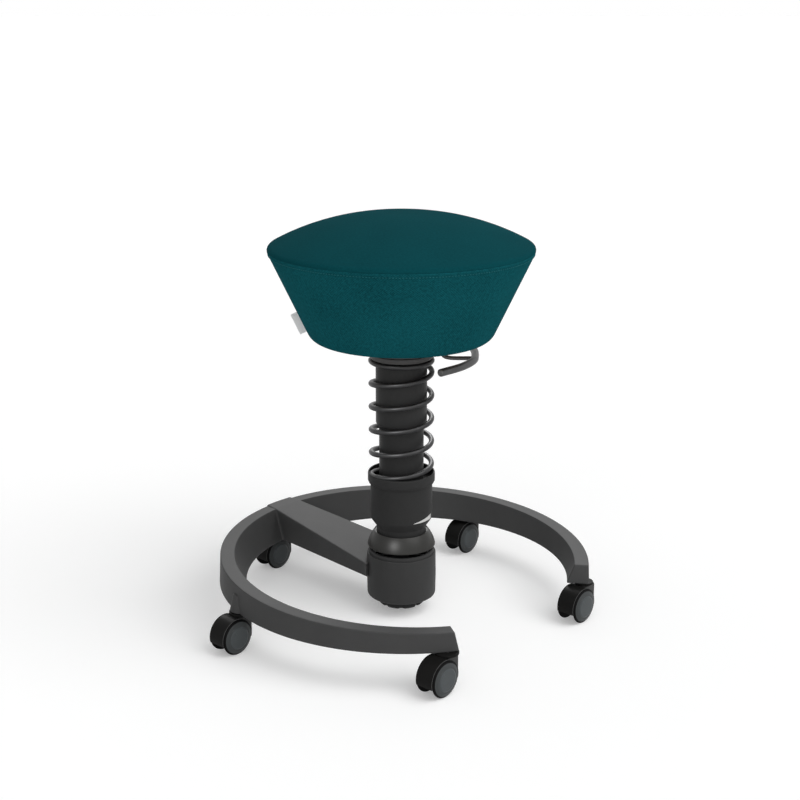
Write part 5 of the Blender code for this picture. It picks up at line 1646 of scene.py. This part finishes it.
@dataclass
class Castor:
    """One twin-wheel castor: a hood that swivels on its stem, and two wheels on its axle.

    The wheel's face is a list of (radius, drop from the outer side, rounding).
    """

    name: str
    stem: Array
    heading: float = math.radians(-42.5)
    trail: float = 0.019
    wheel_radius: float = 0.025
    wheel_near: float = 0.0125
    wheel_far: float = 0.019
    wheel_face: tuple[tuple[float, float, float], ...] = (
        (0.0, 0.0, 0.0),
        (0.0142, 0.0002, 0.0020),
        (0.0162, 0.0013, 0.0015),
        (0.0184, 0.0015, 0.0010),
        (0.0224, 0.0031, 0.0010),
        (0.0250, 0.0050, 0.0010),
    )
    disc_end: float = 0.0152
    bevel_end: float = 0.0225
    wheel_steps: int = 72
    hood_half: float = 0.012
    hood_radius: float = 0.0264
    hood_lift: float = 0.0175
    hood_steps: int = 144
    lip: float = 0.0017
    lip_wall: float = 0.0008
    lip_edge: float = 0.0002
    lip_fade: tuple[float, float] = (math.radians(68.0), math.radians(78.0))
    housing_radius: float = 0.0146
    housing_gap: float = 0.0005
    housing_steps: int = 96
    collar_lift: float = 0.0009
    housing_top: float = 0.0544
    collar_radius: float = 0.0160
    bore: float = 0.0033
    bore_end: float = 0.0164

    def axes(self) -> Array:
        """The castor's own directions: along the axle, ahead, up."""
        c, s = math.cos(self.heading), math.sin(self.heading)
        return np.array(((c, s, 0.0), (-s, c, 0.0), (0.0, 0.0, 1.0)))

    def wheel(self) -> Skin:
        """A wheel turned about its axle: raised middle disc, soft step, bevelled rim, round tread.

        Returns:
            The wheel along +Z; its disc has finish 0, its bevel 1, and its tread and back 2.
        """
        face = [(radius, self.wheel_far - drop, turn) for radius, drop, turn in self.wheel_face]
        back = (
            (self.wheel_radius, self.wheel_near, 0.0008),
            (self.bore, self.wheel_near, 0.0),
            (self.bore, self.bore_end, 0.0),
            (0.0, self.bore_end, 0.0),
        )
        line = rounded_line((*face, *back), False, 5)
        skin = lathe(line, self.wheel_steps, False)
        row = np.arange(len(line) - 1)
        disc, bevel = (np.argmax(line[:, 0] > end) for end in (self.disc_end, self.bevel_end))
        skin.finish = np.repeat(np.where(row < disc, 0, np.where(row < bevel, 1, 2)), self.wheel_steps)
        return skin

    def hood(self) -> Skin:
        """The drum over the wheels and the post round the stem, in the castor's own directions."""
        return joined(self.drum(), self.post())

    def drum(self) -> Skin:
        """The drum: its section across its width is turned about the axle.

        The section's rows are (place across, radius, share of the lip). The radius is held to the floor
        cut, r = min(r, cut / cos(angle from straight down)). A thin lip with a lighter grey edge (finish 1),
        a painted highlight, reaches over each wheel and fades out towards the cut.

        Returns:
            The closed drum, from the stem.
        """
        half, radius, inner = self.hood_half, self.hood_radius, self.hood_radius - self.lip_wall
        side = np.array(
            (
                (half, 0.0, 0.0),
                (half, 0.5 * inner, 0.0),
                (half, inner, 0.0),
                (half, inner, 1.0),
                (half, radius - self.lip_edge, 1.0),
                (half, radius, 0.85),
                (half * 0.6, radius, 0.0),
            )
        )
        rows = np.concatenate((side * (-1.0, 1.0, -1.0), ((0.0, radius, 0.0),), side[::-1]))
        down = full_turn(self.hood_steps) - math.pi
        cut = (self.wheel_radius - self.hood_lift) / np.maximum(np.cos(down), 1e-3)
        reach = np.where(np.cos(down) > 0, np.minimum(rows[:, 1:2], cut), rows[:, 1:2])
        fade_from, fade_to = self.lip_fade
        fade = ease((np.abs(down) - fade_from) / (fade_to - fade_from))
        across = rows[:, :1] + self.lip * rows[:, 2:] * fade
        ahead, height = reach * np.sin(down) - self.trail, self.wheel_radius - reach * np.cos(down)
        drum = grid_skin(np.stack((across, ahead, height), -1), False, True)
        # The lip's faces take finish 1, a lighter grey painted as a highlight along the edge.
        lip = np.abs(rows[:, 2])
        drum.finish = np.repeat((lip[:-1] * lip[1:] > 0).astype(int), self.hood_steps)
        return drum

    def post(self) -> Skin:
        """The upright housing: a round post held between the wheels, r = min(r, half / |cos|), in grey
        (finish 1) up to the full dark collar that it opens to over them.

        The ladder's rows are (height, share of the collar, drawn in).

        Returns:
            The closed post round the stem.
        """
        turn = full_turn(self.housing_steps)
        gap = (self.hood_half - self.housing_gap) / np.maximum(np.abs(np.cos(turn)), 1e-3)
        between = np.minimum(self.housing_radius, gap)
        over, top = 2 * self.wheel_radius + self.collar_lift, self.housing_top
        ladder = np.array(
            (
                (self.wheel_radius, 0.0, 0.0),
                (over - 0.0012, 0.0, 0.0),
                (over - 0.0003, 0.3, 0.0),
                (over + 0.0003, 1.0, 0.0),
                (top - 0.0008, 1.0, 0.0),
                (top - 0.0002, 1.0, 0.0002),
                (top, 1.0, 0.0008),
            )
        )
        height, opened, drawn = ladder[:, :1], ladder[:, 1:2], ladder[:, 2:]
        post = loft(polar(between + (self.collar_radius - between) * opened - drawn, turn, height))
        # The collar keeps the hood's black (finish 0); as a dark band right under the ring it is also a
        # painted shadow line there.
        grey_rows = np.count_nonzero(opened < 1.0)
        post.finish = np.repeat((np.arange(len(ladder) + 1) < grey_rows).astype(int), self.housing_steps)
        return post

    def build(self, shop: Workshop) -> None:
        """Makes the hood and both wheels in their places."""
        axes, body = self.axes(), f"castor_{self.name}"
        hood = self.hood().turned(axes, self.stem)
        shop.stand_in(f"{body}_hood", hood, body, (Finishes.HOOD, Finishes.LIP))
        centre = self.stem - self.trail * axes[1] + self.wheel_radius * axes[2]
        for side in WheelSide:
            node = f"{body}_wheel_{side.name.lower()}"
            facing = np.array((axes[1], axes[2], side.value * axes[0]))
            wheel = self.wheel().turned(facing, centre)
            shop.stand_in(node, wheel, node, (Finishes.DISC, Finishes.BEVEL, Finishes.TREAD))


class InnerParts:
    """The nodes that keep their own shape; those that no list names are plain steel."""

    NAMES: dict[Finishes, tuple[str, ...]] = {
        Finishes.RUBBER: ("tilt_buffer", "bump_stop"),
        Finishes.PALE: ("guide_bush", "lift_guide_bush"),
        Finishes.BRIGHT: ("lift_rod", "valve_pin", "lever_pin"),
        Finishes.PLYWOOD: ("seat_board",),
        Finishes.PAN: ("seat_pan",),
        # Near black as painted shade for the gap under the cap that these are seen through.
        Finishes.DARK: ("trunnion_ring", "tilt_cross", "column_yoke"),
    }

    def build(self, shop: Workshop) -> None:
        """Gives each remaining node its finish."""
        table = {name: finish for finish, names in self.NAMES.items() for name in names}
        for name in sorted(set(shop.nodes) - shop.replaced):
            node = shop.nodes[name]
            finish = table.get(name, Finishes.STEEL)
            node.data.materials.clear()
            node.data.materials.append(finish.value.material())
            LOG.info("%s: kept, %s", name, finish.value.name)


@dataclass(frozen=True)
class Lamp:
    """A far soft lamp.

    Its way is the direction from the stool to the lamp, its spread is how wide it looks from there in
    degrees, and a power of pi lights a white floor straight below it fully.
    """

    name: str
    way: tuple[float, float, float]
    spread: float
    power: float
    gloss_only: bool = False

    def build(self) -> None:
        """Puts the lamp into the scene; a gloss-only lamp shows only in reflections."""
        data = bpy.data.lights.new(self.name, "SUN")
        data.angle, data.energy = math.radians(self.spread), self.power
        lamp = bpy.data.objects.new(self.name, data)
        lamp.rotation_euler = Vector(self.way).to_track_quat("Z", "Y").to_euler()
        lamp.visible_diffuse = not self.gloss_only
        bpy.context.scene.collection.objects.link(lamp)


@dataclass
class Studio:
    """The floor, the soft light and the camera."""

    camera_place: tuple[float, float, float] = (-0.0080, -1.94733, 0.88275)
    camera_tilt: float = math.radians(90.0 - 16.064)
    lens: float = 65.163
    sensor: float = 36.0
    shift: float = -1.4 / 800
    view_end: float = 100.0
    sky: float = 0.42
    floor_half: float = 40.0
    floor_grey: float = 0.80
    floor_glow: float = 0.28
    lamps: tuple[Lamp, ...] = (
        Lamp("key", (0.9, -0.35, 1.30), 50.0, 1.40),
        Lamp("front", (0.28, -1.0, 0.40), 100.0, 1.08),
        Lamp("box", (-0.41, -0.78, 0.49), 26.0, 2.20, gloss_only=True),
        Lamp("back", (0.0, 0.70, 0.72), 36.0, 3.6, gloss_only=True),
    )

    def world(self) -> None:
        """An even sky that shows white to the camera, to gloss and through glass."""
        world = bpy.data.worlds.new("studio_sky")
        bpy.context.scene.world = world
        world.use_nodes = True
        graph = Graph(world.node_tree)
        light = graph.add("ShaderNodeBackground", {0: WHITE, 1: self.sky})
        seen = graph.add("ShaderNodeBackground", {0: WHITE, 1: 1.0})
        mixed = graph.add(
            "ShaderNodeMixShader", {0: self.seen_directly(graph), 1: light.outputs[0], 2: seen.outputs[0]}
        )
        graph.add("ShaderNodeOutputWorld", {0: mixed.outputs[0]})

    @staticmethod
    def seen_directly(graph: Graph) -> bpy.types.NodeSocket:
        """1 for camera, glossy and transmission rays, and 0 for the rest."""
        path = graph.add("ShaderNodeLightPath").outputs
        first = graph.math("MAXIMUM", path["Is Camera Ray"], path["Is Glossy Ray"])
        return graph.math("MAXIMUM", first, path["Is Transmission Ray"])

    def floor(self) -> None:
        """A wide pale floor that shows white where it is lit and keeps the shadow."""
        half = self.floor_half
        corners = [(-half, -half, 0), (half, -half, 0), (half, half, 0), (-half, half, 0)]
        data = bpy.data.meshes.new("floor")
        data.from_pydata(corners, [], [(0, 1, 2, 3)])
        floor = bpy.data.objects.new("floor", data)
        bpy.context.scene.collection.objects.link(floor)
        paint = bpy.data.materials.new("floor_white")
        paint.use_nodes = True
        graph = Graph(paint.node_tree)
        matt = graph.add("ShaderNodeBsdfDiffuse", {0: shade((1.0, 1.0, 1.0), self.floor_grey)})
        glow = graph.add("ShaderNodeEmission", {0: WHITE, 1: self.floor_glow})
        both = graph.add("ShaderNodeAddShader", {0: matt.outputs[0], 1: glow.outputs[0]})
        mixed = graph.add(
            "ShaderNodeMixShader", {0: self.seen_directly(graph), 1: matt.outputs[0], 2: both.outputs[0]}
        )
        graph.add("ShaderNodeOutputMaterial", {0: mixed.outputs[0]})
        data.materials.append(paint)

    @staticmethod
    def leave_out(lamp_name: str, piece_name: str) -> None:
        """Keeps one lamp's light off one piece, by light linking."""
        passed_by = bpy.data.collections.new(f"{lamp_name}_leaves_out")
        passed_by.objects.link(bpy.data.objects[piece_name])
        passed_by.collection_objects[0].light_linking.link_state = "EXCLUDE"
        bpy.data.objects[lamp_name].light_linking.receiver_collection = passed_by

    def camera(self) -> None:
        """The camera at the photograph's viewing angle."""
        data = bpy.data.cameras.new("view")
        data.lens, data.sensor_width, data.shift_x = self.lens, self.sensor, self.shift
        data.clip_end = self.view_end
        camera = bpy.data.objects.new("view", data)
        camera.location = self.camera_place
        camera.rotation_euler = (self.camera_tilt, 0.0, 0.0)
        bpy.context.scene.collection.objects.link(camera)
        bpy.context.scene.camera = camera

    def build(self) -> None:
        """Sets the whole studio up."""
        self.world()
        self.floor()
        for lamp in self.lamps:
            lamp.build()
        self.camera()
        bpy.context.scene.view_settings.view_transform = "Standard"
        LOG.info("studio: ready")


def castor_stems() -> dict[str, Array]:
    """Each castor's stem place: evenly round the stem circle from the arm, clockwise from above."""
    angles = ARM_ANGLE - full_turn(len(CASTOR_NAMES))
    return dict(zip(CASTOR_NAMES, RING_CENTRE + polar(STEM_CIRCLE, angles, 0.0)))


def main() -> None:
    """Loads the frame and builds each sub-assembly in order."""
    logging.basicConfig(level=logging.INFO, format="%(name)s: %(message)s")
    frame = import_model()
    shop = Workshop(frame["nodes"])
    studio = Studio()
    studio.build()
    stems = castor_stems()
    ring = FootRing()
    ring.build(shop, stems)
    SupportArm().build(shop, ring)
    Hub().build(shop)
    SpringColumn().build(shop)
    Sleeve().build(shop)
    Seat().build(shop)
    ReleaseLever().build(shop)
    studio.leave_out("back", "release_lever_skin")
    for name, stem in stems.items():
        Castor(name, stem, collar_radius=NARROW_COLLARS.get(name, Castor.collar_radius)).build(shop)
    InnerParts().build(shop)


if __name__ == "__main__":
    main()
